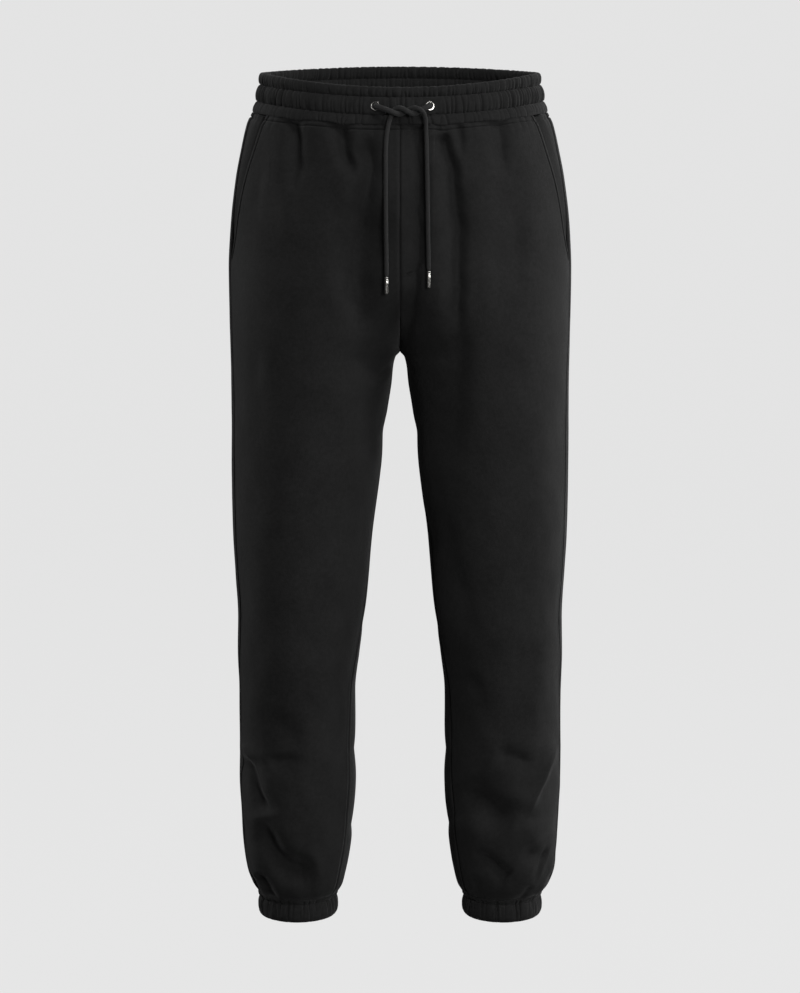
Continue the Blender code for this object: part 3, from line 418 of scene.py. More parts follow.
# Creases: where the cloth folds, by the face of the leg and its side, 0 for both. Each has its
# half width, its depth (below 0 for a trough), how far it leans to one side, how pointed it is (2
# is round, 1 sharp), the shares of its length over which it starts and dies out, and a line of
# points: x and z on the front and the back, y and z on the outer and inner sides of a leg. The
# sizes are millimetres.
CREASE = "half_width depth lean power starts ends line"
CREASES = {
    ("front", -1): table(
        CREASE,
        (8.5, -14, -0.25, 1.5, 0, 0.5,
         ((-121, -32), (-119, -44), (-119, -58), (-120, -77), (-122, -93), (-121, -124))),
        (7.5, -14, -0.25, 1.5, 0, 0.35, ((-67, -36), (-64, -49), (-62, -63), (-59, -77), (-56, -94))),
        (10, -2.6, -0.3, 1.6, 0.3, 0.5, ((-57, -80), (-50, -104), (-42, -136))),
        (8, -11, -0.2, 1.5, 0.3, 0.5,
         ((-37, -42), (-35, -59), (-34, -76), (-34, -96), (-37, -118), (-40, -140))),
        (18, -25, 0.15, 1.7, 0.35, 0.35,
         ((-44, -96), (-46, -136), (-49, -167), (-50, -200), (-48, -240), (-42, -280))),
        (12, 3.4, 0, 2, 0.3, 0.4, ((-68, -51), (-60, -107), (-56, -165), (-56, -233))),
        (14, 3, 0, 2, 0.3, 0.4, ((-132, -41), (-131, -120), (-134, -189))),
        (8, -2, -0.2, 1.6, 0.3, 0.5, ((-160, -76), (-165, -122), (-170, -169))),
        (13, -7, -0.3, 1.6, 0.15, 0.4, ((-14, -334), (-29, -322), (-46, -308), (-59, -295))),
        (12, -5.5, 0, 1.8, 0.3, 0.4, ((-26, -333), (-35, -356), (-39, -394), (-40, -440))),
        (18, 2.8, 0, 2, 0.4, 0.5, ((-75, -316), (-68, -346), (-65, -400))),
        (10, -2.4, -0.2, 1.8, 0.3, 0.4, ((-166, -283), (-168, -331), (-164, -389))),
        (18, -4, -0.3, 1.8, 0.4, 0.4, ((-165, -723), (-131, -757), (-119, -788))),
        (14, 2.2, 0, 2, 0.4, 0.4, ((-83, -642), (-97, -690), (-93, -741))),
        (14, -7.5, -0.42, 1.5, 0.35, 0.45, ((-166, -789), (-139, -790), (-112, -791))),
        (13, 1.6, 0, 2, 0.3, 0.4, ((-166, -804), (-139, -806), (-115, -807))),
        (5, 3.4, 0.2, 1.3, 0.05, 0.15,
         ((-189, -779), (-181, -796), (-173, -813), (-164, -832), (-154, -854))),
        (11, -15, 0.1, 1.6, 0.25, 0.25,
         ((-187, -790), (-181, -808), (-173, -828), (-164, -850), (-159, -861))),
        (14, -21, -0.2, 1.6, 0.3, 0.25,
         ((-173, -866), (-166, -880), (-155, -896), (-146, -909), (-136, -921), (-124, -926),
          (-112, -926), (-98, -924))),
        (9, -11, -0.35, 1.4, 0.3, 0, ((-177, -938), (-167, -950), (-154, -966))),
        (6, 1.2, 0, 1.6, 0.3, 0, ((-168, -932), (-157, -948), (-146, -970)))),
    ("front", 1): table(
        CREASE,
        (7.5, -10, -0.2, 1.6, 0, 0.2,
         ((20, -37), (20, -73), (21, -118), (21, -165), (19, -205), (13, -246), (6, -294))),
        (9, -14, -0.42, 1.5, 0.05, 0.15,
         ((49, -41), (54, -60), (59, -82), (64, -114), (67, -148), (68, -188), (67, -233),
          (67, -275))),
        (16, -8, -0.3, 1.7, 0.3, 0.3, ((67, -245), (69, -292), (65, -352), (60, -401), (56, -449))),
        (5, -5, -0.4, 1.5, 0, 0.7, ((69, -38), (70, -54), (72, -74))),
        (10, -9, -0.35, 1.5, 0, 0.6, ((114, -32), (116, -48), (119, -65), (118, -97))),
        (14, 3.2, 0, 2, 0.3, 0.3, ((95, -40), (96, -119), (99, -211), (102, -280))),
        (9, 2.6, 0, 2, 0.3, 0.3, ((42, -46), (44, -108), (45, -188), (48, -257))),
        (11, -2.6, -0.2, 1.8, 0.3, 0.4, ((134, -109), (135, -167), (138, -235))),
        (18, -8, -0.35, 1.8, 0.35, 0.5, ((49, -475), (56, -535), (73, -591), (76, -643))),
        (10, -4, -0.3, 1.7, 0.4, 0.4, ((81, -677), (87, -692), (100, -705))),
        (15, -7, -0.42, 1.5, 0.3, 0.3, ((113, -776), (129, -784), (143, -790), (160, -796))),
        (13, 1.8, 0, 2, 0.3, 0.4, ((110, -791), (134, -801), (158, -810))),
        (23, -22, -0.25, 1.6, 0.3, 0.35, ((71, -824), (96, -838), (119, -856), (137, -875))),
        (14, 2.8, 0, 2, 0.3, 0.4, ((75, -859), (94, -875), (120, -888))),
        (8, 4.6, -0.35, 1.3, 0.3, 0.25,
         ((190, -776), (183, -793), (176, -811), (168, -829), (159, -846), (151, -860))),
        (2.6, 1.5, 0, 1.4, 0.3, 0.3,
         ((190, -776), (183, -793), (176, -811), (168, -829), (159, -846), (151, -860))),
        (12, -2.6, 0, 1.8, 0.3, 0.3, ((169, -774), (161, -803), (149, -839))),
        (11, -11, -0.45, 1.4, 0.35, 0.1, ((89, -905), (105, -913), (118, -924), (133, -938))),
        (15, 4.6, 0, 1.8, 0.3, 0.4, ((156, -862), (161, -880), (170, -899))),
        (13, -6.5, -0.4, 1.6, 0.4, 0.2, ((147, -900), (162, -909), (180, -917))),
        (5, -4.5, 0, 1.4, 0.4, 0, ((86, -934), (93, -955), (101, -971))),
        (5, -3.5, 0, 1.4, 0.3, 0, ((158, -949), (153, -960), (148, -970))),
        (5, 2.8, 0, 1.6, 0.3, 0.1, ((186, -916), (181, -950), (167, -972)))),
    ("back", -1): table(
        CREASE,
        (10, -3.4, 0.2, 1.6, 0, 0.6, ((-98, -20), (-94, -60), (-90, -112))),
        (9, -2.8, -0.2, 1.6, 0, 0.6, ((-46, -18), (-43, -50), (-40, -92))),
        (15, -2.6, 0, 1.6, 0.1, 0.3, ((0, -110), (0, -200), (0, -300))),
        (16, -4, 0.4, 1.6, 0.1, 0.5, ((-14, -322), (-60, -356), (-124, -392))),
        (14, -2.6, 0, 1.6, 0.2, 0.5, ((-18, -362), (-56, -402), (-104, -436))),
        (24, -2, 0, 1.6, 0.3, 0.4, ((-150, -180), (-128, -260), (-112, -340))),
        (15, -5.6, 0.4, 1.6, 0.2, 0.4, ((-52, -586), (-104, -612), (-172, -622))),
        (15, -5, -0.4, 1.6, 0.3, 0.4, ((-188, -652), (-140, -684), (-74, -704))),
        (17, 3, 0, 1.6, 0.3, 0.4, ((-66, -640), (-120, -652), (-176, -644))),
        (14, -5.2, 0.4, 1.6, 0.2, 0.4, ((-186, -792), (-140, -830), (-84, -852))),
        (13, -5.2, -0.4, 1.6, 0.2, 0.4, ((-78, -880), (-122, -908), (-168, -922))),
        (18, 3, 0, 1.6, 0.3, 0.3, ((-90, -866), (-130, -874), (-176, -878))),
        (7, -3.4, 0, 1.6, 0.2, 0, ((-96, -938), (-102, -956), (-106, -974))),
        (7, -3.6, 0, 1.6, 0.2, 0, ((-156, -940), (-150, -956), (-146, -974)))),
    ("back", 1): table(
        CREASE,
        (9, -3, 0.2, 1.6, 0, 0.6, ((52, -18), (48, -54), (46, -100))),
        (10, -3.2, -0.2, 1.6, 0, 0.6, ((108, -20), (104, -60), (100, -104))),
        (15, -2.6, 0, 1.6, 0.1, 0.3, ((0, -110), (0, -200), (0, -300))),
        (16, -4, -0.4, 1.6, 0.1, 0.5, ((14, -318), (58, -350), (116, -384))),
        (14, -2.4, 0, 1.6, 0.2, 0.5, ((20, -356), (60, -392), (108, -420))),
        (24, -2, 0, 1.6, 0.3, 0.4, ((154, -170), (134, -250), (118, -330))),
        (15, -5.6, -0.4, 1.6, 0.2, 0.4, ((50, -580), (104, -606), (170, -614))),
        (15, -5, 0.4, 1.6, 0.3, 0.4, ((186, -660), (138, -690), (72, -706))),
        (17, 3, 0, 1.6, 0.3, 0.4, ((64, -636), (118, -648), (174, -640))),
        (14, -5.2, -0.4, 1.6, 0.2, 0.4, ((184, -800), (138, -832), (82, -848))),
        (13, -5.2, 0.4, 1.6, 0.2, 0.4, ((80, -886), (124, -912), (170, -928))),
        (18, 3, 0, 1.6, 0.3, 0.3, ((88, -868), (130, -878), (176, -884))),
        (7, -3.6, 0, 1.6, 0.2, 0, ((98, -942), (104, -958), (108, -974))),
        (7, -3.2, 0, 1.6, 0.2, 0, ((158, -938), (152, -956), (148, -974)))),
    ("outer", 0): table(
        CREASE,
        (20, -1.4, 0.3, 1.6, 0.3, 0.5, ((100, -596), (62, -612), (24, -616))),
        (18, -1.6, -0.3, 1.6, 0.3, 0.5, ((92, -676), (58, -692), (22, -698))),
        (14, -2.4, 0.3, 1.6, 0.2, 0.5, ((90, -790), (56, -812), (22, -826))),
        (14, -2.6, -0.3, 1.6, 0.3, 0.4, ((76, -880), (48, -894), (20, -900))),
        (16, 2.4, 0, 1.6, 0.3, 0.4, ((76, -850), (48, -860), (22, -866))),
        (7, -3.2, 0, 1.6, 0.2, 0, ((30, -940), (22, -958), (16, -974))),
        (7, -2.8, 0, 1.6, 0.2, 0, ((-20, -942), (-14, -958), (-10, -974)))),
    ("inner", 0): table(
        CREASE,
        (22, -3, 0.3, 1.6, 0.3, 0.5, ((70, -366), (20, -396), (-40, -410))),
        (18, -1.8, -0.3, 1.6, 0.3, 0.5, ((70, -606), (20, -632), (-40, -640))),
        (16, -2.2, 0.3, 1.6, 0.2, 0.5, ((76, -760), (24, -786), (-36, -800))),
        (14, -2.4, -0.3, 1.6, 0.2, 0.4, ((70, -856), (20, -884), (-34, -892))),
        (7, -3, 0, 1.6, 0.2, 0, ((24, -942), (20, -958), (16, -974)))),
}
ANKLE_PLEATS = 13
ANKLE_PLEAT_DEPTH = 0.3 * MM
ANKLE_PLEAT_TOP = -930.0 * MM
ANKLE_PLEAT_FULL = -966.0 * MM
CENTRE_REACH = 25.0 * MM
CENTRE_DROP = 12.0 * MM

# Pleats that start at the waist seam: x in millimetres, and 1 on the front or -1 on the back.
WAIST_PLEATS = ((-118, 1), (-66, 1), (50, 1), (115, 1), (-97, -1), (-45, -1), (51, -1), (107, -1))
PLEAT_PULL = 1.7 * MM          # by which a pleat draws the waist seam down
PLEAT_PULL_REACH = 8.5 * MM
PUCKERS = 78                   # round each half of the waist seam
PUCKER_DEPTH = 0.45 * MM
PUCKER_REACH = 15.0 * MM
HEM_SINK = 1.5 * MM            # of the cloth where it goes under the waistband
CUFF_SINK = 1.4 * MM
HEM_DEPTH = 2.2 * MM           # of a crease, where the waistband or cuff holds it
HEM_REACH = 14.0 * MM
OPEN_DEPTH = 40.0 * MM         # of a crease clear of the hems: no crease is as deep
SEAM_DEPTH = 1.5 * MM
SEAM_WIDTH = 1.5 * MM
WELT_HEIGHT = 0.35 * MM
WELT_WIDTH = 2.4 * MM
WELT_AT = 4.2 * MM             # from the seam
STITCH_DEPTH = 0.4 * MM        # of the valley along a plain line of stitches
STITCH_WIDTH = 0.9 * MM
COVER_STITCHES = 6.0 * MM      # below the waist seam
COVER_PULL = 4.4               # times as deep as a plain line
MOUTH_STITCHES = 5.2 * MM      # from the edge of the pocket mouth
MOUTH_PULL = 3.8
MOUTH_SINK = 1.2 * MM          # of the front's edge at the mouth
GATHER_DRIFT = ((1.2, 7, 1.0), (0.9, 13, 2.1), (0.8, 23, 3.3), (0.6, 37, 1.0))


def bell(offset, width):
    """Bell curve: e to the power of minus the square of the offset over the width."""
    return np.exp(-(offset / width) ** 2)


def read_table(rows, column, z):
    """Read a column of a table at height z from a cubic through its rows. Its slope at a row is
    the harmonic mean of the slopes on both sides, and 0 at a peak."""
    heights = np.array([row.z for row in rows])[::-1] * MM
    values = np.array([getattr(row, column) for row in rows], dtype=float)[::-1]
    steps = np.diff(heights)
    slopes = np.diff(values) / steps
    tangents = np.empty_like(values)
    tangents[0], tangents[-1] = slopes[0], slopes[-1]
    same_way = slopes[:-1] * slopes[1:] > 0
    total = np.where(same_way, slopes[:-1] + slopes[1:], 1.0)
    tangents[1:-1] = np.where(same_way, 2 * slopes[:-1] * slopes[1:] / total, 0.0)
    z = np.clip(z, heights[0], heights[-1])
    at = np.clip(np.searchsorted(heights, z) - 1, 0, len(steps) - 1)
    t = (z - heights[at]) / steps[at]
    return (values[at] * (1 + 2 * t) * (1 - t) ** 2
            + values[at + 1] * t * t * (3 - 2 * t)
            + tangents[at] * steps[at] * t * (1 - t) ** 2
            + tangents[at + 1] * steps[at] * t * t * (t - 1))


def read_rows(rows, z):
    """Read every column of a table but its heights, in metres, at height z."""
    return [read_table(rows, column, z) * MM for column in rows[0]._fields[1:]]


def seam_angle(rows, z):
    """Read the angle of a seam at height z."""
    return np.radians(read_table(rows, "degrees", z))


def split_at(z):
    """Go from 0 where the legs share one section to 1 where each has its own."""
    t = np.clip((SPLIT_TOP - z) / (SPLIT_TOP - CROTCH), 0.0, 1.0)
    return t * t * (3 - 2 * t) + SPLIT_END_RATE * (t ** 3 - t ** 2)


def leg_section(z):
    """Give the centre and half width of a leg's section, its middle and its half depth."""
    outer, inner, front, back = read_rows(SECTIONS, z)
    half_width = (outer - inner) / (1 + split_at(z))
    return outer - half_width, half_width, (back - front) / 2, (back + front) / 2


def leg_point(side, z, angle):
    """Give the point of the smooth leg: its section is an ellipse, with x at the centre plus the
    half width times the cosine of the angle and y at the middle minus the half depth times its
    sine, made fuller between the two by a share of the cosine squared."""
    centre, half_width, middle, half_depth = leg_section(z)
    below_waist = fade(z, SPLIT_TOP, CROTCH)
    fullness = TORSO_FULLNESS + (LEG_FULLNESS - TORSO_FULLNESS) * below_waist
    across, forward = np.cos(angle), np.sin(angle)
    from_inner = np.abs(math.pi - np.abs(angle)) * half_depth
    arch = read_rows(ARCH, z)[0] * bell(from_inner, ARCH_REACH)
    x = side * (centre + half_width * across + arch)
    y = middle - half_depth * forward * (1 + fullness * across ** 2)
    drop = np.where(forward > 0, WAIST_DIP, -WAIST_RISE) * forward ** 2
    return together(x, y, z - drop * fade(z, DIP_FADE_END, WAIST_SEAM))


def level_out(side, z, angle):
    """Give the level direction out of the smooth leg: at right angles to its section, but leaning
    to the front and back, so that a fold keeps its place across the leg."""
    turn = 0.004
    along = leg_point(side, z, angle + turn) - leg_point(side, z, angle - turn)
    return -side * unit(together(SIDE_SHARE * along[..., 1], -along[..., 0], 0.0))


def wander(seen):
    """Shift points of a view a little, by slow waves across and down, so that no crease runs
    quite straight."""
    across, down = seen[..., 0] / MM, seen[..., 1] / MM
    shift_across = np.sin(down / 11.3 + 0.7 * np.sin(across / 17.0)) + 0.6 * np.sin(down / 5.3 + 1.9)
    shift_down = np.sin(across / 13.1 + 0.9 * np.sin(down / 19.0)) + 0.6 * np.sin(across / 6.1 + 0.4)
    return seen + WANDER * together(shift_across, shift_down)


def fold_shape(seen, line, crease):
    """Give the shape of a crease, 0 to 1, at the points of a view: a bell curve across its line,
    wider on the side that it leans to. It fades in and out along the line, and its width and
    height swell and shrink a little."""
    start, run = line[:-1][None], np.diff(line, axis=0)[None]
    spot = seen[:, None]
    share = np.clip(((spot - start) * run).sum(-1) / (run ** 2).sum(-1), 0.0, 1.0)
    offset = spot - start - share[..., None] * run
    away = np.linalg.norm(offset, axis=-1)
    closest = away.argmin(axis=1)
    pick = np.arange(len(closest)), closest
    sign = np.sign(run[0, closest, 0] * offset[pick][:, 1] - run[0, closest, 1] * offset[pick][:, 0])
    along = (closest + share[pick]) / run.shape[1]
    swell = 1 + CREASE_SWELL * np.sin(5.5 * along + crease.line[0][0])
    across = np.hypot(away[pick], CREASE_ROUND) - CREASE_ROUND
    width = crease.half_width * MM * swell * (1 + crease.lean * sign)
    shape = np.exp(-(across / width) ** crease.power) * (0.9 + 0.1 * swell)
    if crease.starts:
        shape = shape * fade(along, -0.02, crease.starts)
    if crease.ends:
        shape = shape * fade(1 - along, -0.02, crease.ends)
    return shape


def crease_height(points, facing, side):
    """Add up the creases, each by how far the cloth turns to the face that it lies on."""
    height = np.zeros(points.shape[:-1])
    for (face, own_side), creases in CREASES.items():
        if own_side not in (0, side):
            continue
        seen = wander(points[..., [0, 2]] if face in ("front", "back") else points[..., [1, 2]])
        for crease in creases:
            line = smooth_line(np.array(crease.line) * MM, CREASE_STEP)
            reach = CREASE_REACH * (crease.half_width * MM)
            near = ((seen > line.min(axis=0) - reach) & (seen < line.max(axis=0) + reach)).all(-1)
            near &= facing[face] > 0
            if near.any():
                shape = fold_shape(seen[near], line, crease)
                height[near] += crease.depth * MM * shape * facing[face][near]
    return height


def soft_hand(side, arc, z):
    """Height of the cloth's slight unevenness: waves across the cloth, down it and slanting,
    between 30 and 110 mm long, added together."""
    shift = 1.7 * side
    wide = np.sin(arc / 0.0175 + 2.2 * np.sin(z / 0.09 + shift) + shift)
    slant = np.sin(arc / 0.011 + z / 0.021 + 1.3 * np.sin(z / 0.05 - shift))
    cross = np.sin(z / 0.0125 - arc / 0.03 + 1.8 * np.sin(arc / 0.028 + shift))
    small = np.sin(arc / 0.0062 - z / 0.0081 + 1.5 * np.sin(z / 0.017 + arc / 0.02))
    lower = fade(z, -480 * MM, -900 * MM)
    return MM * (0.42 * wide + 0.26 * slant + (0.14 + 0.30 * lower) * cross + 0.10 * small)


def seam_profile(distance):
    """Height near a seam: a narrow valley at the seam itself and a low welt beside it, where the
    seam allowance lies under the cloth."""
    welt = WELT_HEIGHT * bell(distance - WELT_AT, WELT_WIDTH)
    return welt - SEAM_DEPTH * bell(distance, SEAM_WIDTH)


def stitch_valley(distance):
    """Height near a line of stitches, which pulls the cloth in along a narrow line."""
    return -STITCH_DEPTH * bell(distance, STITCH_WIDTH)


def gather_wave(turns, angle, seed):
    """Height of gathers round a band, -1 to 1: round ridges with sharp creases between them, the
    root of a cosine's size, at uneven spacings."""
    phase = turns * angle
    for drift, waves, start in GATHER_DRIFT:
        phase = phase + drift * np.sin(waves * angle + start * seed)
    return 2 * np.abs(np.cos(phase / 2)) ** 0.75 - 1


def panel_edges(face, z):
    """Give the angles of a panel's two edges: the side seam or the pocket mouth, and the centre
    plane above the crotch or the inseam below it."""
    seam, inseam = seam_angle(SIDE_SEAM, z), seam_angle(INSEAM, z)
    centre, half_width = leg_section(z)[:2]
    middle = np.arccos(np.clip(-centre / half_width, -1.0, 1.0))
    if face == "back":
        return seam, np.where(z > CROTCH, -middle, -(math.pi + inseam))
    if face == "facing":
        return seam, middle
    mouth = np.where(z > MOUTH_BOTTOM, seam_angle(POCKET_MOUTH, z), 0.0)
    return np.maximum(seam, mouth), np.where(z > CROTCH, middle, math.pi - inseam)


def cloth_speed(z, angle):
    """Give the distance along the section for each radian of the angle."""
    half_width, half_depth = leg_section(z)[1], leg_section(z)[3]
    return np.hypot(half_width * np.sin(angle), half_depth * np.cos(angle))


def seam_sway(x, sine):
    """Height by which the waist seam leaves its smooth curve: slow waves, and a short bell curve
    down at each pleat."""
    sway = 0.35 * MM * np.sin(x / (17 * MM) + 1.1)
    for x0, facing in WAIST_PLEATS:
        sway = sway - PLEAT_PULL * fade(facing * sine, 0.1, 0.4) * bell(x - x0 * MM, PLEAT_PULL_REACH)
    return sway


def leg_folds(side, base, z, angle):
    """Height of the cloth over the smooth leg: its creases, its unevenness, the pleats above the
    cuff, and the puckers and valleys where it is sewn into the waistband and the cuff."""
    sine, cosine = np.sin(angle), np.cos(angle)
    facing = {
        "front": fade(sine, -0.05, 0.25),
        "back": fade(-sine, 0.04, 0.5),
        "outer": fade(cosine, 0.1, 0.6),
        "inner": fade(-cosine, 0.1, 0.6) * fade(-z, 0.32, 0.40),
    }
    height = crease_height(base, facing, side)
    calm = fade(-z, 0.03, 0.08) * (0.25 + 0.75 * fade(np.abs(sine), 0, 0.5))
    height += soft_hand(side, side * angle * THIGH_ROUND, z) * calm
    pleats = np.cos(ANKLE_PLEATS * angle + 1.4 * np.sin(3 * angle + side) + 0.9 * side)
    height += ANKLE_PLEAT_DEPTH * pleats * fade(z, ANKLE_PLEAT_TOP, ANKLE_PLEAT_FULL)
    below_waist = WAIST_SEAM - z
    height += PUCKER_DEPTH * gather_wave(PUCKERS, side * angle, 2.4) * bell(below_waist, PUCKER_REACH)
    height += (COVER_PULL * stitch_valley(below_waist - COVER_STITCHES)
               - HEM_SINK * bell(below_waist, 1.2 * MM))
    return height - CUFF_SINK * bell(z - CUFF_SEAM, 2.2 * MM)


def mouth_edge(z, from_edge):
    """Height near the front panel's outer edge: the front bulges off the pocket and is sewn down
    along its mouth, and has a plain seam below it."""
    is_open = fade(z, MOUTH_BOTTOM - 4 * MM, MOUTH_BOTTOM + 4 * MM)
    stretch = np.clip((z - MOUTH_BOTTOM) / (WAIST_SEAM - MOUTH_BOTTOM), 0.0, 1.0)
    bulge = MOUTH_LIFT * np.sin(math.pi * stretch) * bell(from_edge, MOUTH_LIFT_WIDTH)
    sewn = (MOUTH_PULL * stitch_valley(from_edge - MOUTH_STITCHES)
            - MOUTH_SINK * bell(from_edge, 1.0 * MM))
    return bulge + (1 - is_open) * seam_profile(from_edge) + is_open * sewn


def cloth_relief(face, side, z, angle):
    """Give the point of the smooth leg, the level way out and the height of the sewn cloth: its
    folds and its seams, held shallow at the waistband and the cuff."""
    base = leg_point(side, z, angle)
    height = leg_folds(side, base, z, angle)
    from_side, from_middle = (np.abs(angle - edge) * cloth_speed(z, angle)
                              for edge in panel_edges(face, z))
    height += mouth_edge(z, from_side) if face == "front" else seam_profile(from_side)
    if face != "facing":
        height += seam_profile(from_middle)
    from_hem = np.minimum(WAIST_SEAM - z, z - CUFF_SEAM)
    deepest = HEM_DEPTH + OPEN_DEPTH * fade(from_hem, 0.0, HEM_REACH)
    height = np.where(height < 0, deepest * np.tanh(height / deepest), height)
    out = level_out(side, z, angle)
    from_centre = fade(np.abs(base[..., 0]), 0.0, CENTRE_REACH)
    out[..., 0] *= 1 - (1 - from_centre) * bell(np.minimum(z - CROTCH, 0.0), CENTRE_DROP)
    base[..., 2] += seam_sway(base[..., 0], np.sin(angle)) * fade(z, WAIST_SEAM - 60 * MM, WAIST_SEAM)
    return base, out, height


def cloth_point(face, side, z, angle):
    """Give the point of the sewn cloth: the smooth leg plus its height along the level way out."""
    base, out, height = cloth_relief(face, side, z, angle)
    return base + height[..., None] * out


def grid_normals(points, side):
    """Give the outward direction at each point of a grid that runs down and then round."""
    down = np.gradient(points, axis=0)
    round_leg = np.gradient(points, axis=1)
    return side * unit(np.cross(round_leg, down))


def panel_rows():
    """List a panel's heights: closer together at the waist, where the crotch's arch turns
    quickly, and in the folds above the cuff."""
    line = WAIST_SEAM - np.array([0.0, 0.5, 1.0, 1.6, 2.6, 3.7, 4.7, 5.2, 5.6, 6.0, 6.4, 6.8, 7.3,
                                  8.2]) * MM
    hip = np.concatenate([line, np.arange(line[-1] - 1.3 * MM, SPLIT_TOP, -1.6 * MM)])
    fine = np.linspace(SPLIT_TOP, CROTCH, 400)
    fork = np.interp(np.sin(np.linspace(0.0, math.pi / 2, 66)[1:]), split_at(fine), fine)
    arch = CROTCH - np.array([0.5, 1.2, 2.2, 3.5, 5.0, 7.0, 9.2, 11.6, 14.2]) * MM
    thigh = np.linspace(arch[-1] - 3.0 * MM, -720.0 * MM, THIGH_ROWS)
    shin = np.linspace(-722.0 * MM, -966.5 * MM, SHIN_ROWS)
    hem = CUFF_SEAM + np.array([3.4, 2.4, 1.6, 1.0, 0.5, 0.0]) * MM
    return np.concatenate([hip, fork, arch, thigh, shin, hem])


def even_out(share, ends):
    """Spread shares of a width so that they lie closer together near both edges: the share less
    a part of the sine of its full turn."""
    return share - ends * np.sin(2 * math.pi * share) / (2 * math.pi)


def lowest_near(height, reach):
    """Give the least value within a number of rows and columns of each point of a grid."""
    for axis in (0, 1):
        padding = [(reach, reach) if k == axis else (0, 0) for k in (0, 1)]
        padded = np.pad(height, padding, mode="edge")
        count = height.shape[axis]
        height = np.min([np.take(padded, range(k, k + count), axis=axis)
                         for k in range(2 * reach + 1)], axis=0)
    return height


def border_of(rows, columns):
    """List the points round the edge of a grid, starting and ending at its first corner."""
    index = np.arange(rows * columns).reshape(rows, columns)
    return np.concatenate([index[0], index[1:, -1], index[-1, -2::-1], index[-2::-1, 0]])


def lay_flat(points, way_round):
    """Lay a grid of cloth out flat: each point goes to its distance along its row and its height."""
    steps = np.linalg.norm(np.diff(points, axis=1, prepend=points[:, :1]), axis=-1)
    return together(way_round * np.cumsum(steps, axis=1), points[..., 2])


def add_panel(name, base, out, height, way_round):
    """Make a wall of cloth with a fine outside. Its inside has every fourth row and column, and
    stays behind the lowest place near each of its points."""
    outer = base + height[..., None] * out
    thin = (slice(None, None, COARSE),) * 2
    normal = grid_normals(base[thin], way_round)
    behind = lowest_near(height, COARSE)[thin]
    inner = base[thin] + behind[..., None] * out[thin] - PANEL_INSIDE * normal
    count = height.size
    border = border_of(*height.shape)
    inside = count + border_of(*behind.shape)
    near, far = inside[:-1], inside[1:]
    o = [border[k::COARSE][:len(near)] for k in range(COARSE)] + [border[COARSE::COARSE]]
    triangles = np.concatenate([together(*corners) for corners in (
        (o[1], o[0], near), (o[2], o[1], near), (o[2], near, far), (o[3], o[2], far),
        (o[4], o[3], far))])
    quads = np.concatenate([grid_quads(*height.shape), count + grid_quads(*behind.shape)[:, ::-1]])
    if way_round < 0:
        quads, triangles = quads[:, ::-1], triangles[:, ::-1]
    flat = lay_flat(outer, way_round)
    points = np.concatenate([outer.reshape(-1, 3), inner.reshape(-1, 3)])
    cloth = np.concatenate([flat.reshape(-1, 2), flat[thin].reshape(-1, 2)])
    return add_piece(name, points, quads, triangles, cloth=cloth)


def add_wall(name, outer, normal, thickness, side):
    """Make a wall of cloth from a grid of points, their outward directions and a thickness: the
    grid, an inner one behind it, and the rim between."""
    rows, columns = outer.shape[:2]
    count = rows * columns
    inner = outer - np.asarray(thickness)[..., None] * normal
    front = grid_quads(rows, columns)
    border = border_of(rows, columns)
    rim = together(border[1:], border[:-1], count + border[:-1], count + border[1:])
    quads = np.concatenate([front, count + front[:, ::-1], rim])
    if side < 0:
        quads = quads[:, ::-1]
    flat = lay_flat(outer, side).reshape(-1, 2)
    points = np.concatenate([outer.reshape(-1, 3), inner.reshape(-1, 3)])
    return add_piece(name, points, quads, cloth=np.concatenate([flat, flat]))


# Black brushed fleece. The outside is a jersey knit, worn to a short nap, which is matt and
# slightly uneven in tone and catches some light at the edges of a form. Its wales are about
# 1 mm apart, drawn at 1.5 mm so that they show.
brushed_fleece, tree, shader = new_material("brushed_fleece")
place = node(tree, "ShaderNodeTexCoord", {}).outputs["Object"]
flat_cloth = node(tree, "ShaderNodeUVMap", {}, uv_map="cloth").outputs["UV"]
clouds = node(tree, "ShaderNodeTexNoise", {"Vector": place, "Scale": 16.0, "Detail": 3.0,
                                           "Roughness": 0.6})
mottle = node(tree, "ShaderNodeTexNoise", {"Vector": place, "Scale": 210.0, "Detail": 4.0,
                                           "Roughness": 0.65})
nap = node(tree, "ShaderNodeTexNoise", {"Vector": place, "Scale": 1500.0, "Detail": 3.0,
                                        "Roughness": 0.7})
wales = node(tree, "ShaderNodeTexWave", {"Vector": flat_cloth, "Scale": 0.314 / (1.5 * MM),
                                         "Distortion": 1.2, "Detail": 2.0,
                                         "Detail Scale": 0.6}, bands_direction="X")
tone = node(tree, "ShaderNodeMath", {0: clouds.outputs["Fac"], 1: mottle.outputs["Fac"]},
            operation="ADD")
tone = node(tree, "ShaderNodeMath", {0: tone.outputs[0], 1: nap.outputs["Fac"]}, operation="ADD")
tone = node(tree, "ShaderNodeMapRange", {"Value": tone.outputs[0], "From Min": 1.15,
                                         "From Max": 1.85, "To Min": 0.0, "To Max": 1.0})
black = node(tree, "ShaderNodeMix", {0: tone.outputs["Result"], 6: linear("1b1b1b"),
                                     7: linear("262626")}, data_type="RGBA")
knit = node(tree, "ShaderNodeBump", {"Height": wales.outputs["Fac"], "Strength": 0.25,
                                     "Distance": 0.2 * MM})
pile = node(tree, "ShaderNodeBump", {"Height": nap.outputs["Fac"], "Strength": 0.7,
                                     "Distance": 0.35 * MM, "Normal": knit.outputs["Normal"]})
uneven = node(tree, "ShaderNodeBump", {"Height": mottle.outputs["Fac"], "Strength": 0.45,
                                       "Distance": 0.6 * MM, "Normal": pile.outputs["Normal"]})
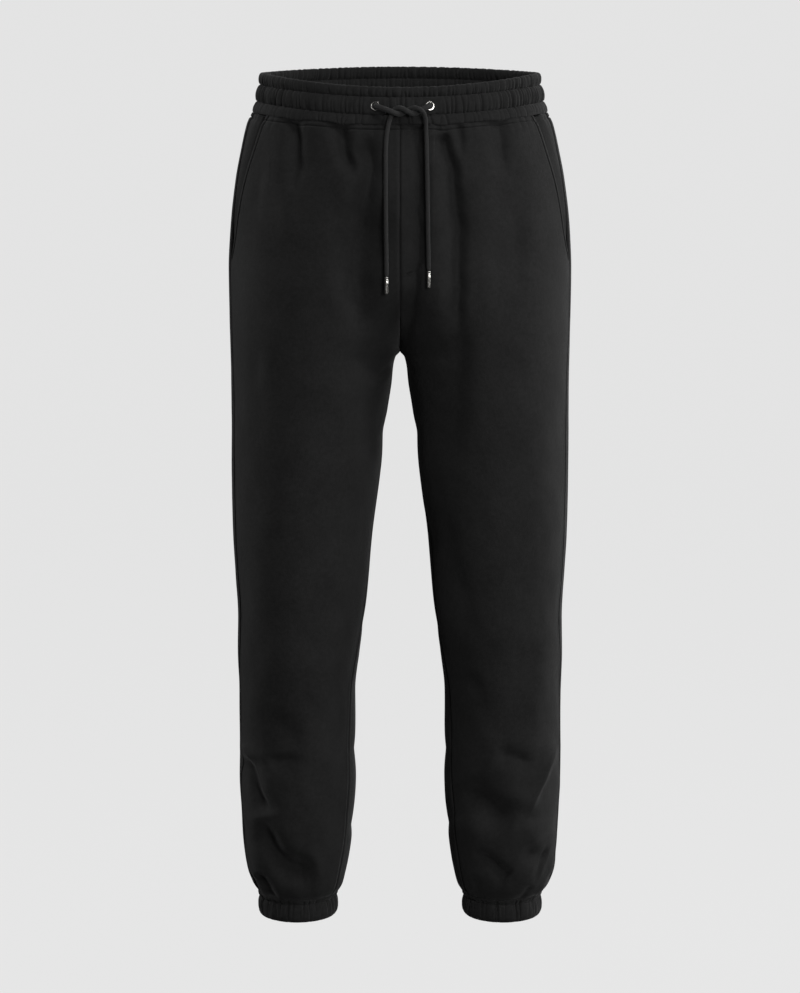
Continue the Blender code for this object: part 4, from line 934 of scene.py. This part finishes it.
feed(tree, shader, {"Base Color": black.outputs[2], "Normal": uneven.outputs["Normal"],
                    "Roughness": 0.95, "Specular IOR Level": 0.18, "Sheen Weight": 0.08,
                    "Sheen Roughness": 0.4})

Cut = namedtuple("Cut", "size area")
rows_z = panel_rows()
for leg, side in LEGS.items():
    for face in ("front", "back"):
        share = even_out(np.linspace(0.0, 1.0, PANEL_COLUMNS + 1), 0.86)
        first, last = panel_edges(face, rows_z)
        angle = first[:, None] + (last - first)[:, None] * share
        heights = np.broadcast_to(rows_z[:, None], angle.shape)
        way_round = side if face == "front" else -side
        relief = cloth_relief(face, side, heights, angle)
        panel = add_panel(f"{face}_panel_{leg}", *relief, way_round)
        panel.data.materials.append(brushed_fleece)
        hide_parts(f"{face}_{leg}")
        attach(panel, "root")

# ---------------------------------------------------------------------------------------------
# Pocket facings. Each is a strip of the same fleece, sewn into the side seam, that closes the
# slanted pocket mouth from behind: it lies level with the side and slips under the front.

FACING_WALL = 1.5 * MM
FACING_TOP = WAIST_SEAM - 0.3 * MM
FACING_BOTTOM = -206.0 * MM
FACING_STEP = 2.0 * MM
FACING_COLUMNS = 28
FACING_OVERLAP = 16.0 * MM     # under the front panel
FACING_NEAR_SEAM = 0.5 * MM    # below the leg's smooth surface at the side seam
FACING_BELOW_FRONT = FLEECE + 1.1 * MM
FACING_RAMP = (math.radians(1.75), math.radians(8.75))  # between the two, from the mouth
FACING_SEAM_GAP = 0.15 * MM
FACING_GROOVE = 3.4 * MM       # along the mouth, where the front presses it in
FACING_GROOVE_WIDTH = 4.0 * MM

for leg, side in LEGS.items():
    z = np.arange(FACING_TOP, FACING_BOTTOM, -FACING_STEP)
    half_depth = leg_section(z)[3]
    seam = seam_angle(SIDE_SEAM, z) + FACING_SEAM_GAP / half_depth
    mouth = seam_angle(POCKET_MOUTH, z)
    under = np.maximum(mouth, seam) + FACING_OVERLAP / half_depth
    share = np.linspace(0.0, 1.0, FACING_COLUMNS + 1)
    angle = seam[:, None] + (under - seam)[:, None] * share
    heights = np.broadcast_to(z[:, None], angle.shape)
    surface = cloth_point("facing", side, heights, angle)
    normal = grid_normals(surface, side)
    open_part = fade(mouth[:, None] - angle, *FACING_RAMP)
    depth = FACING_BELOW_FRONT + (FACING_NEAR_SEAM - FACING_BELOW_FRONT) * open_part
    from_mouth = (mouth[:, None] - angle) * half_depth[:, None]
    depth += FACING_GROOVE * bell(from_mouth, FACING_GROOVE_WIDTH)
    facing = add_wall(f"pocket_facing_{leg}_cloth", surface - depth[..., None] * normal, normal,
                      FACING_WALL, side)
    facing.data.materials.append(brushed_fleece)
    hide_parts(f"pocket_facing_{leg}")
    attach(facing, "root")

# ---------------------------------------------------------------------------------------------
# Mock fly. A patch of the same fleece laid on the wearer's left front, from the waistband down
# to a curved end at the centre seam. It is sewn down all round, so its edges melt into the front.

FLY_INNER = 0.5 * MM
FLY_WIDTH = 39.0 * MM
FLY_CURVE_TOP = -158.0 * MM
FLY_BOTTOM = -206.0 * MM
FLY_RISE = 0.95 * MM           # over the front
FLY_MELT = 0.04 * MM           # what is left of that at the edges
FLY_EDGE = 2.6 * MM            # inside which it has its full rise
FLY_SINK = 0.5 * MM            # of its back, into the front
FLY_ROWS = 121
FLY_COLUMNS = 61
FLY_STITCHES = 2.4 * MM        # inside the outer edge
FLY_INNER_STITCHES = 5.6 * MM  # from the centre plane


def fly_end(x):
    """Height of the fly's lower edge: a quarter of an ellipse that ends at the centre seam."""
    share = np.clip((x - FLY_INNER) / (FLY_WIDTH - FLY_INNER), 0.0, 1.0)
    return FLY_CURVE_TOP + (FLY_BOTTOM - FLY_CURVE_TOP) * np.sqrt(1 - share ** 2)


def front_angle(z, x):
    """Angle on the front half at which the section is x from the centre plane."""
    centre, half_width = leg_section(z)[:2]
    return np.arccos(np.clip((x - centre) / half_width, -1.0, 1.0))


def fly_inset(x, z):
    """Distance inside the fly's outer edge: straight across above the curve, and along the
    ellipse's own radius within it."""
    width, drop = FLY_WIDTH - FLY_INNER, FLY_CURVE_TOP - FLY_BOTTOM
    reach = np.hypot((x - FLY_INNER) / width, np.maximum(FLY_CURVE_TOP - z, 0.0) / drop)
    return (1 - reach) * width


def fly_rise(x, z):
    """Height of the fly above the front: its thickness, melting away at the edges, less the
    valleys of its two lines of stitches."""
    full = (fade(fly_inset(x, z), -0.4 * MM, FLY_EDGE) * fade(x, 0.0, 2.2 * MM)
            * fade(WAIST_SEAM - z, 0.0, 2.0 * MM))
    return (FLY_MELT + FLY_RISE * full + stitch_valley(fly_inset(x, z) - FLY_STITCHES)
            + stitch_valley(x - FLY_INNER_STITCHES))


across = np.linspace(0.0, 1.0, FLY_COLUMNS)
across = across + 0.35 * np.sin(math.pi * across) * across * (1 - across)
x = FLY_INNER + (FLY_WIDTH - FLY_INNER) * across[None, :]
top = WAIST_SEAM - 0.6 * MM
down = even_out(np.linspace(0.0, 1.0, FLY_ROWS), 0.5)[:, None]
z = top + (fly_end(x) - top) * down
angle = front_angle(z, x)
surface = cloth_point("front", 1, z, angle)
normal = grid_normals(surface, 1)
x = np.broadcast_to(x, z.shape)
rise = fly_rise(x, z)
fly = add_wall("mock_fly_patch", surface + rise[..., None] * normal, normal, FLY_SINK + rise, 1)
fly.data.materials.append(brushed_fleece)
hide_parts("mock_fly")
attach(fly, "root")

# ---------------------------------------------------------------------------------------------
# Waistband. A wide strip of the same fleece, folded over elastic and quilted to it by two rows
# of stitches, which leaves three gathered channels. The drawcord runs inside the middle one.

BAND_TOP = 22.5 * MM
BAND_WALL = 4.0 * MM
BAND_STITCHES = (9.9 * MM, -9.5 * MM)
BAND_COLUMNS = 1680
BAND_ROUND = 145.0 * MM        # mean radius of the band
BAND_ROWS = table(
    "z half_width front back dip rise",
    (22.5, 163.4, 103.6, 113.6, 15, 5.8), (19, 163.8, 104, 114, 14.5, 5.8),
    (14, 164.3, 104.4, 114.4, 13.4, 5.7), (9.9, 164.9, 105, 115, 12.5, 5.6),
    (4.6, 165.9, 105.8, 115.8, 12.7, 5.6), (-4.4, 167.6, 107.2, 117.2, 13.1, 5.6),
    (-9.5, 168.9, 108.2, 118.2, 13.4, 5.6), (-16, 171.4, 110, 119.6, 12.6, 5.6),
    (-21.6, 173.6, 112, 121, 12, 5.6))

# A channel lies between two rows of stitches. Its puff is how far it stands out at its middle. Its
# gathers are so many round the band and so deep, by shares at the channel's top and bottom, and
# away from the centre front they fall to the share called ease.
CHANNELS = table(
    "top bottom puff gathers depth upper lower ease seed",
    (24.5, 9.9, 2.4, 220, 3.6, 0.25, 1, 1, 7), (9.9, -9.5, 3.2, 176, 4.4, 0.5, 1, 1, 19),
    (-9.5, -21.6, 1.7, 140, 3.6, 1, 0.7, 0.35, 24))
GATHER_WIDTH = 1.45 * MM
FLAT_RADIUS = 7.5 * MM         # the band is pressed flat round an eyelet out to here
FLAT_FADE = 14.0 * MM
FLAT_PUFF = 2.2 * MM           # of the band where it is pressed flat
HOLE_RADIUS = 4.0 * MM
HOLE_EASE = (-0.4 * MM, 0.6 * MM)  # its edge is rounded from inside to outside the radius
HOLE_DEPTH = 3.2 * MM
STITCH_SINK = 0.5 * MM         # of the rows of stitches
INSIDE_SHARE = 0.9             # of the puffs and gathers, on the band's inside


def band_ground(z, angle, inset):
    """The waistband without puffs and gathers: an ellipse made fuller between its ends by a share
    of the cosine squared, whose front hangs lower and whose back stands higher by the sine
    squared. inset moves it towards the middle."""
    half_width, front, back, dip, rise = read_rows(BAND_ROWS, z)
    half_depth = (front + back) / 2 - inset
    forward, sideways = np.sin(angle), np.cos(angle)
    x = (half_width - inset) * sideways
    y = (back - front) / 2 - half_depth * (1 + TORSO_FULLNESS * sideways ** 2) * forward
    return together(x, y, z - np.where(forward > 0, dip, -rise) * forward ** 2)


def pinches(angle, share, radius, folds):
    """Depth of small creases round a band. Each fold has its angle, slant, half width, depth and
    the shares of the depth at the top and bottom of the band; across itself it is a bell curve
    with a sharp middle."""
    total = np.zeros(np.broadcast_shapes(angle.shape, share.shape))
    for place, slant, half_width, depth, upper, lower in folds:
        away = (angle[0] - place + math.pi) % (2 * math.pi) - math.pi
        near = np.abs(away) * radius < 4 * half_width + abs(slant) * radius
        offset = (away[near] - slant * (share - 0.5)) * radius
        shape = np.exp(-(np.abs(offset) / half_width) ** 1.4)
        total[:, near] += depth * (upper + (lower - upper) * fade(share, 0.1, 0.9)) * shape
    return total


def scatter_folds(count, depth, width, upper, lower, seed):
    """Spread folds round a band at uneven distances, each with its own slant, width and depth;
    depth and width are the greatest, and each fold leans more to its upper or its lower end."""
    random = np.random.default_rng(seed)
    pitch = 2 * math.pi / count
    place = (np.arange(count) + random.uniform(-0.42, 0.42, count)) * pitch
    slant = random.normal(0.0, 0.22, count) * pitch
    half_width = width * random.uniform(0.55, 1.0, count)
    depths = depth * random.uniform(0.15, 1.0, count) ** 0.8
    tops = upper * random.uniform(0.3, 1.0, count)
    bottoms = lower * random.uniform(0.3, 1.0, count)
    return together(place, slant, half_width, depths, tops, bottoms)


def channel_height(z, angle):
    """Height of the channels: each is a sine across itself to the power 0.6, less its gathers."""
    height = np.zeros(np.broadcast_shapes(z.shape, angle.shape))
    for channel in CHANNELS:
        share = (channel.top * MM - z) / ((channel.top - channel.bottom) * MM)
        inside = (share >= 0) & (share <= 1)
        share = np.clip(share, 0.0, 1.0)
        puff = channel.puff * MM * np.sin(math.pi * share) ** 0.6
        folds = scatter_folds(channel.gathers, channel.depth * MM, GATHER_WIDTH, channel.upper,
                              channel.lower, channel.seed)
        middle = fade(np.sin(angle), 0.62, 0.95)
        gathered = channel.ease + (1 - channel.ease) * middle
        wave = gather_wave(channel.gathers * 0.45, angle, channel.seed)
        puff = puff * (1 + 0.16 * wave * gathered)
        height += np.where(inside, puff - gathered * pinches(angle, share, BAND_ROUND, folds), 0.0)
    return height


def pressed_flat(points):
    """Go from 0 on the free band to 1 round an eyelet, and dip into its hole."""
    pressed, hole = np.zeros(points.shape[:-1]), np.zeros(points.shape[:-1])
    for eyelet in EYELETS.values():
        away = np.linalg.norm(points - (np.array(eyelet.seat) * MM - FLAT_PUFF
                                        * np.array(eyelet.axis)), axis=-1)
        pressed = np.maximum(pressed, 1 - fade(away, FLAT_RADIUS, FLAT_FADE))
        hole = np.maximum(hole, 1 - fade(away, *(HOLE_RADIUS + ease for ease in HOLE_EASE)))
    return pressed, hole


def add_ring(name, rings):
    """Join rings of points into a closed ring, from the first round to the first again. Its flat
    cloth is measured round the first ring and along the profile."""
    rows, columns = rings.shape[:2]
    quads = grid_quads(rows + 1, columns, wraps=True)
    row, column = np.divmod(quads, columns)
    column = np.where((column == 0) & (column[:, :1] > 0), columns, column)
    along = run_along(np.concatenate([rings, rings[:1]])[:, 0])
    length = np.linalg.norm(np.roll(rings[0], -1, axis=0) - rings[0], axis=-1).sum()
    cloth = together(column * length / columns, -along[row])
    return add_piece(name, rings.reshape(-1, 3), quads % (rows * columns), cloth=cloth.reshape(-1, 2))


def ring_profile(top, outer, inner, wall):
    """Profile of a folded band, from its lower outer edge up, over the rim and down the inside:
    heights, insets and the direction out of the cloth, sideways and up. outer and inner are the
    heights of its rows outside and inside."""
    rim = wall / 2
    turn = np.linspace(0.0, math.pi, 8)[1:-1]
    z = np.concatenate([outer, top - rim + rim * np.sin(turn), inner])
    inset = np.concatenate([0 * outer, rim - rim * np.cos(turn), 0 * inner + wall])
    sideways = np.concatenate([0 * outer + 1, np.cos(turn), 0 * inner - 1])
    up = np.concatenate([0 * outer, np.sin(turn), 0 * inner])
    return z[:, None], inset[:, None], sideways[:, None], up[:, None]


angle = full_turn(BAND_COLUMNS)[None, :]
near_line = np.array([-1.7, -1.0, -0.5, 0.0, 0.5, 1.0, 1.7]) * MM
outer_rows = np.sort(np.concatenate([
    WAIST_SEAM + np.array([0.0, 0.6, 1.3, 2.1, 3.8, 5.6, 7.4, 9.2]) * MM,
    BAND_STITCHES[1] + near_line, np.linspace(-6.2, 6.6, 8) * MM,
    BAND_STITCHES[0] + near_line, np.linspace(13.1, 20.5, 6) * MM]))
inner_rows = np.array([20.5, 17.5, 14.0, 11.6, 10.7, 9.9, 9.1, 8.0, 3.0, -3.0, -8.7, -9.5, -10.3,
                       -16.0, -21.6]) * MM
z, inset, sideways, up = ring_profile(BAND_TOP, outer_rows, inner_rows, BAND_WALL)
ground = band_ground(z, angle, inset)
lift = channel_height(z, angle)
for stitches in BAND_STITCHES:
    lift -= STITCH_SINK * bell(z - stitches, 0.8 * MM)
pressed, hole = pressed_flat(ground)
pressed = pressed * (np.abs(z) < 9.0 * MM) * (inset == 0)
lift = np.where(inset > BAND_WALL / 2, INSIDE_SHARE * lift,
                lift * (1 - pressed) + FLAT_PUFF * pressed)
lift -= hole * (inset == 0) * HOLE_DEPTH
out = together(sideways * np.cos(angle), -sideways * np.sin(angle), up)
ground[..., 2] += seam_sway(ground[..., 0], np.sin(angle)) * fade(-z, 9.5 * MM, 21.6 * MM)
rings = ground + lift[..., None] * out
band_lines = []
for line in BAND_STITCHES:
    for row in (np.abs(z[:, 0] - line) < 0.01 * MM).nonzero()[0]:
        band_lines.append((rings[row], out[row]))
waistband = add_ring("elastic_waistband", rings)
waistband.data.materials.append(brushed_fleece)
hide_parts("waistband")
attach(waistband, "root")

# ---------------------------------------------------------------------------------------------
# Cuffs. Each ankle ends in a tube of the same fleece, 28 mm deep, folded over one wide elastic
# and sewn to the gathered hem of the leg. The elastic draws it into narrow uneven creases.

CUFF_BOTTOM = -999.2 * MM
CUFF_WALL = 3.4 * MM
CUFF_CENTRE = (125.5 * MM, 5.5 * MM)
CUFF_STITCHES = -976.6 * MM
CUFF_COLUMNS = 720
CUFF_ROUND = 47.0 * MM         # mean radius of the cuff
CUFF_PUFF = 1.5 * MM
CUFF_BELLY = 0.5 * MM          # more at mid-height
CUFF_HEM_PUFF = 0.8 * MM       # what the creases settle to at the lower edge
CUFF_STITCH_SINK = 1.4 * MM
CUFF_INSIDE_SHARE = 0.4        # of the creases, on the cuff's inside
CUFF_HEIGHTS = np.array([      # of its rows outside, from its top
    -970.8, -971.6, -972.6, -973.8, -974.9, -975.8, -976.2, -976.6, -977.0, -977.4, -978.2,
    -979.6, -982.0, -984.6, -987.2, -989.8, -992.4, -995.0, -997.5]) * MM
CUFF_INNER_ROWS = 9
CUFF_ROWS = table(
    "z half_width half_depth",
    (-971.3, 49, 48.5), (-977, 46.2, 46), (-983.5, 47, 46.8), (-991.5, 47, 46.8),
    (-996.5, 46.4, 46.2), (-999.2, 45.2, 45))

# Creases of the cuff: how many round it, the greatest depth and half width in millimetres, the
# shares of the depth at the stitches and at the lower edge, and the seed of their scatter.
CUFF_CREASES = ((34, 3.6, 1.3, 1, 0.35, 11), (15, 3, 2.2, 0.9, 0.1, 5), (11, 2.2, 2.4, 0.3, 0.6, 2))

cuff_lines = {}
for leg, side in LEGS.items():
    angle = full_turn(CUFF_COLUMNS)[None, :]
    inner = np.linspace(CUFF_BOTTOM + CUFF_WALL / 2, CUFF_SEAM, CUFF_INNER_ROWS)
    z, inset, sideways, up = ring_profile(-CUFF_BOTTOM, -CUFF_HEIGHTS, -inner, CUFF_WALL)
    z = -z
    half_width, half_depth = (size - inset for size in read_rows(CUFF_ROWS, z))
    x = side * (CUFF_CENTRE[0] + half_width * np.cos(angle))
    ground = together(x, CUFF_CENTRE[1] - half_depth * np.sin(angle), z)
    share = np.clip((CUFF_STITCHES - z) / (CUFF_STITCHES - CUFF_BOTTOM), 0.0, 1.0)
    folds = np.concatenate([
        scatter_folds(count, depth * MM, width * MM, upper, lower, seed + side)
        for count, depth, width, upper, lower, seed in CUFF_CREASES])
    belly = CUFF_BELLY * np.sin(math.pi * share)
    lift = CUFF_PUFF - pinches(angle, share, CUFF_ROUND, folds)
    lift += gather_wave(14, angle, 0.9 + side) * belly
    lift = CUFF_HEM_PUFF + (lift - CUFF_HEM_PUFF) * (1 - 0.75 * fade(share, 0.78, 1.0))
    lift = lift * fade(-z, -CUFF_SEAM - 0.5 * MM, -CUFF_SEAM + 3.0 * MM)
    lift += belly - CUFF_STITCH_SINK * bell(z - CUFF_STITCHES, 0.9 * MM)
    lift = np.where(inset > CUFF_WALL / 2, CUFF_INSIDE_SHARE * lift, lift)
    out = together(side * sideways * np.cos(angle), -sideways * np.sin(angle), -up)
    row = np.argmin(np.abs(z[:, 0] - CUFF_STITCHES) + inset[:, 0])
    rings = ground + lift[..., None] * out
    cuff_lines[leg] = (rings[row], out[row])
    cuff = add_ring(f"ankle_cuff_{leg}", rings[:, ::-side])
    cuff.data.materials.append(brushed_fleece)
    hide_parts(f"cuff_{leg}")
    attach(cuff, "root")

# ---------------------------------------------------------------------------------------------
# Stitches. Every seam that shows is sewn in black polyester thread, eight or nine stitches to an
# inch. Each stitch is a small spindle of thread whose two ends dip into the cloth.

STITCH_PITCH = 3.0 * MM
STITCH_LENGTH = 2.5 * MM
BARTACK_PITCH = 0.75 * MM
BARTACK_WIDTH = 2.6 * MM
BARTACK_LIFT = 0.1 * MM
THREAD_WIDTH = 0.26 * MM       # half, across
THREAD_HEIGHT = 0.20 * MM      # half, out of the cloth
THREAD_LIFT = 0.08 * MM
THREAD_DIP = 0.30 * MM
THREAD_SIDES = 6
THREAD_STATIONS = ((-0.75, 0.8), (0.0, 1.0), (0.75, 0.8))
LINE_STEP = 0.5 * MM
EDGE_STITCHES = 1.4 * MM       # below the waist seam
MOUTH_TACKS = (WAIST_SEAM - 8.0 * MM, MOUTH_BOTTOM + 9.0 * MM)
MOUTH_TACK_LENGTH = 8.5 * MM
FLY_TACKS = ((3.5, 12.5), (23.0, 30.0))  # from and to, millimetres from the centre plane
FLY_TACK_RISE = 3.0 * MM       # over the fly's lower edge
Stitches = namedtuple("Stitches", "centre along out length")


def cloth_line(face, side, z, angle):
    """Give points of the sewn cloth along a line, and the way out of the cloth at each."""
    z, angle = np.broadcast_arrays(z, angle)
    points = cloth_point(face, side, z, angle)
    down = cloth_point(face, side, z - LINE_STEP, angle) - points
    beside = cloth_point(face, side, z, angle + LINE_STEP / THIGH_ROUND) - points
    out = unit(np.cross(down, beside))
    facing_out = np.sign((out * level_out(side, z, angle)).sum(-1, keepdims=True))
    return points, out * facing_out


def sew(points, out, closed=False):
    """Place stitches end to end along a line of points."""
    if closed:
        points, out = (np.concatenate([line, line[:1]]) for line in (points, out))
    run = run_along(points)
    middle = np.arange(STITCH_PITCH / 2, run[-1] - STITCH_LENGTH / 2, STITCH_PITCH)
    start, centre, end = (read_line(points, run, middle + part * STITCH_LENGTH)
                          for part in (-0.5, 0.0, 0.5))
    return Stitches(centre, unit(end - start), unit(read_line(out, run, middle)),
                    np.full(len(middle), STITCH_LENGTH))


def bartack(points, out):
    """Place stitches side by side across a short line of points, a bar that stops a seam end
    from tearing."""
    run = run_along(points)
    middle = np.arange(0.0, run[-1] + BARTACK_PITCH / 2, BARTACK_PITCH)
    centre = read_line(points, run, middle)
    outward = np.broadcast_to(unit(out.mean(axis=0)), centre.shape)
    line = np.broadcast_to(unit(points[-1] - points[0]), centre.shape)
    return Stitches(centre + BARTACK_LIFT * outward, unit(np.cross(outward, line)), outward,
                    np.full(len(middle), BARTACK_WIDTH))


def add_stitches(name, groups):
    """Make one piece of all the stitches of some groups."""
    centre, along, out, length = (np.concatenate(part) for part in zip(*groups))
    out = unit(out - (out * along).sum(-1, keepdims=True) * along)
    across = np.cross(out, along)
    angle = full_turn(THREAD_SIDES)
    ring = (THREAD_WIDTH * np.cos(angle)[:, None] * across[:, None]
            + THREAD_HEIGHT * np.sin(angle)[:, None] * out[:, None])
    half = 0.5 * length[:, None] * along

    def station(place):
        return centre + place * half + (THREAD_LIFT - THREAD_DIP * place ** 2) * out

    rings = [station(place)[:, None] + size * ring for place, size in THREAD_STATIONS]
    ends = [station(place)[:, None] for place in (-1.0, 1.0)]
    points = np.concatenate(rings + ends, axis=1)
    body, caps = tube_faces(len(THREAD_STATIONS), THREAD_SIDES)
    shift = np.arange(len(points))[:, None, None] * points.shape[1]
    stitches = add_piece(name, points, body + shift, caps + shift)
    stitches.data.materials.append(polyester_thread)
    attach(stitches, "root")


# Polyester thread: smoother than the fleece and as black.
polyester_thread, tree, shader = new_material("polyester_thread")
feed(tree, shader, {"Base Color": linear("161616"), "Roughness": 0.75,
                    "Specular IOR Level": 0.25})

add_stitches("waistband_stitches", [sew(points, out, closed=True) for points, out in band_lines])

rows = []
for side in LEGS.values():
    for face in ("front", "back"):
        for drop in (EDGE_STITCHES, COVER_STITCHES):
            z = WAIST_SEAM - drop
            points, out = cloth_line(face, side, z, np.linspace(*panel_edges(face, z), 500))
            if face == "front" and side > 0:
                covered = (points[:, 0] > FLY_INNER) & (points[:, 0] < FLY_WIDTH)
                rise = fly_rise(points[:, 0], points[:, 2] * 0 + z)
                points = points + np.where(covered, rise, 0.0)[:, None] * out
            rows.append(sew(points, out))
add_stitches("waist_seam_stitches", rows)

for leg, side in LEGS.items():
    z = np.arange(WAIST_SEAM - COVER_STITCHES - 0.6 * MM, MOUTH_BOTTOM + 1.0 * MM, -LINE_STEP)
    edge = panel_edges("front", z)[0]
    inward = MOUTH_STITCHES / cloth_speed(z, edge)
    groups = [sew(*cloth_line("front", side, z, edge + inward))]
    for start in MOUTH_TACKS:
        near = (z < start) & (z > start - MOUTH_TACK_LENGTH)
        groups.append(bartack(*cloth_line("front", side, z[near], (edge + 0.45 * inward)[near])))
    add_stitches(f"pocket_stitches_{leg}", groups)

turn = np.linspace(0.0, math.radians(80), 160)
width, drop = FLY_WIDTH - FLY_INNER - FLY_STITCHES, FLY_CURVE_TOP - FLY_BOTTOM
shrink = width / (FLY_WIDTH - FLY_INNER)
straight_z = np.arange(WAIST_SEAM - COVER_STITCHES - 1.0 * MM, FLY_CURVE_TOP, -LINE_STEP)
j_x = np.concatenate([0 * straight_z + FLY_INNER + width, FLY_INNER + width * np.cos(turn)])
j_z = np.concatenate([straight_z, FLY_CURVE_TOP - drop * shrink * np.sin(turn)])
inner_z = np.arange(straight_z[0], FLY_BOTTOM + 8.0 * MM, -LINE_STEP)
lines = [(j_x, j_z, sew), (0 * inner_z + FLY_INNER_STITCHES, inner_z, sew)]
for span in FLY_TACKS:
    tack_x = np.linspace(*span, 20) * MM
    lines.append((tack_x, fly_end(tack_x) + FLY_TACK_RISE, bartack))
groups = []
for x, z, place in lines:
    points, out = cloth_line("front", 1, z, front_angle(z, x))
    groups.append(place(points + fly_rise(x, z)[:, None] * out, out))
add_stitches("fly_stitches", groups)

for leg in LEGS:
    add_stitches(f"cuff_stitches_{leg}", [sew(*cuff_lines[leg], closed=True)])

# ---------------------------------------------------------------------------------------------
# Stage. A round cyclorama of white opal acrylic, lit evenly from behind: a floor that curves up
# into a wall and glows the same pale grey all over.

FLOOR = -1.42
FLOOR_RINGS = (0.02, 1.0, 2.5, 4.5)
FLOOR_RADIUS = 6.2
SWEEP = 1.6                    # radius of the curve from the floor up
WALL_TOP = 3.4
STAGE_SIDES = 96

turn = np.linspace(0.0, math.pi / 2, 17)
radius = np.concatenate([FLOOR_RINGS, FLOOR_RADIUS + SWEEP * np.sin(turn), [FLOOR_RADIUS + SWEEP]])
height = np.concatenate([[FLOOR] * len(FLOOR_RINGS), FLOOR + SWEEP * (1 - np.cos(turn)), [WALL_TOP]])
angle = full_turn(STAGE_SIDES)
rings = together(radius[:, None] * np.cos(angle), radius[:, None] * np.sin(angle), height[:, None])
quads, ends = tube_faces(len(rings), STAGE_SIDES)
points = np.concatenate([rings.reshape(-1, 3), [[0.0, 0.0, FLOOR]]])
backdrop = add_piece("backdrop", points, quads[:, ::-1], ends[:STAGE_SIDES, ::-1])
opal_acrylic, tree, shader = new_material("opal_acrylic")
feed(tree, shader, {"Base Color": linear("303030"), "Roughness": 0.8, "Specular IOR Level": 0.0,
                    "Emission Color": linear("e3e3e3"), "Emission Strength": 1.0})
backdrop.data.materials.append(opal_acrylic)
backdrop.visible_diffuse = False
backdrop.visible_glossy = False
backdrop.visible_shadow = False

# ---------------------------------------------------------------------------------------------
# Light. Square soft boxes: one overhead, the front one and the key at the wearer's left, which
# draw out the folds, one behind each side that lights the edges, and one behind for the seat. Two
# tall narrow strips in front give the eyelets and the cord's tips something bright to mirror.

SOFTBOXES = table(
    "name place aim wide tall watts",
    ("top", (0.9, -1.9, 3.0), (0.0, 0.0, -0.4), 1.5, 1.5, 48),
    ("front", (1.2, -3.6, 0.6), (0.0, 0.0, -0.7), 1.0, 1.0, 54),
    ("key", (3.0, -0.9, 0.3), (0.0, 0.0, -0.6), 1.1, 1.1, 29),
    ("left_edge", (-2.4, 1.0, 0.2), (-0.1, 0.0, -0.5), 0.9, 0.9, 28),
    ("right_edge", (2.3, 1.2, 0.0), (0.1, 0.0, -0.6), 0.9, 0.9, 30),
    ("back", (0.7, 2.8, 2.2), (0.0, 0.0, -0.5), 1.3, 1.3, 30),
    ("strip_right", (1.3, -3.1, 0.1), (0.0, 0.0, -0.1), 0.2, 2.4, 3.0),
    ("strip_left", (-1.2, -3.2, 0.1), (0.0, 0.0, -0.1), 0.2, 2.4, 4.0),
)
for box in SOFTBOXES:
    lamp = bpy.data.lights.new(box.name, "AREA")
    lamp.shape = "RECTANGLE"
    lamp.size = box.wide
    lamp.size_y = box.tall
    lamp.energy = box.watts
    stand = bpy.data.objects.new(box.name, lamp)
    stand.location = box.place
    stand.rotation_euler = (Vector(box.aim) - Vector(box.place)).to_track_quat("-Z", "Y").to_euler()
    stand.visible_camera = False
    bpy.context.scene.collection.objects.link(stand)

world = bpy.data.worlds.new("studio")
world.use_nodes = True
feed(world.node_tree, world.node_tree.nodes["Background"],
     {"Color": linear("f2f2f2"), "Strength": 0.07})
bpy.context.scene.world = world
bpy.context.scene.view_settings.view_transform = "Standard"
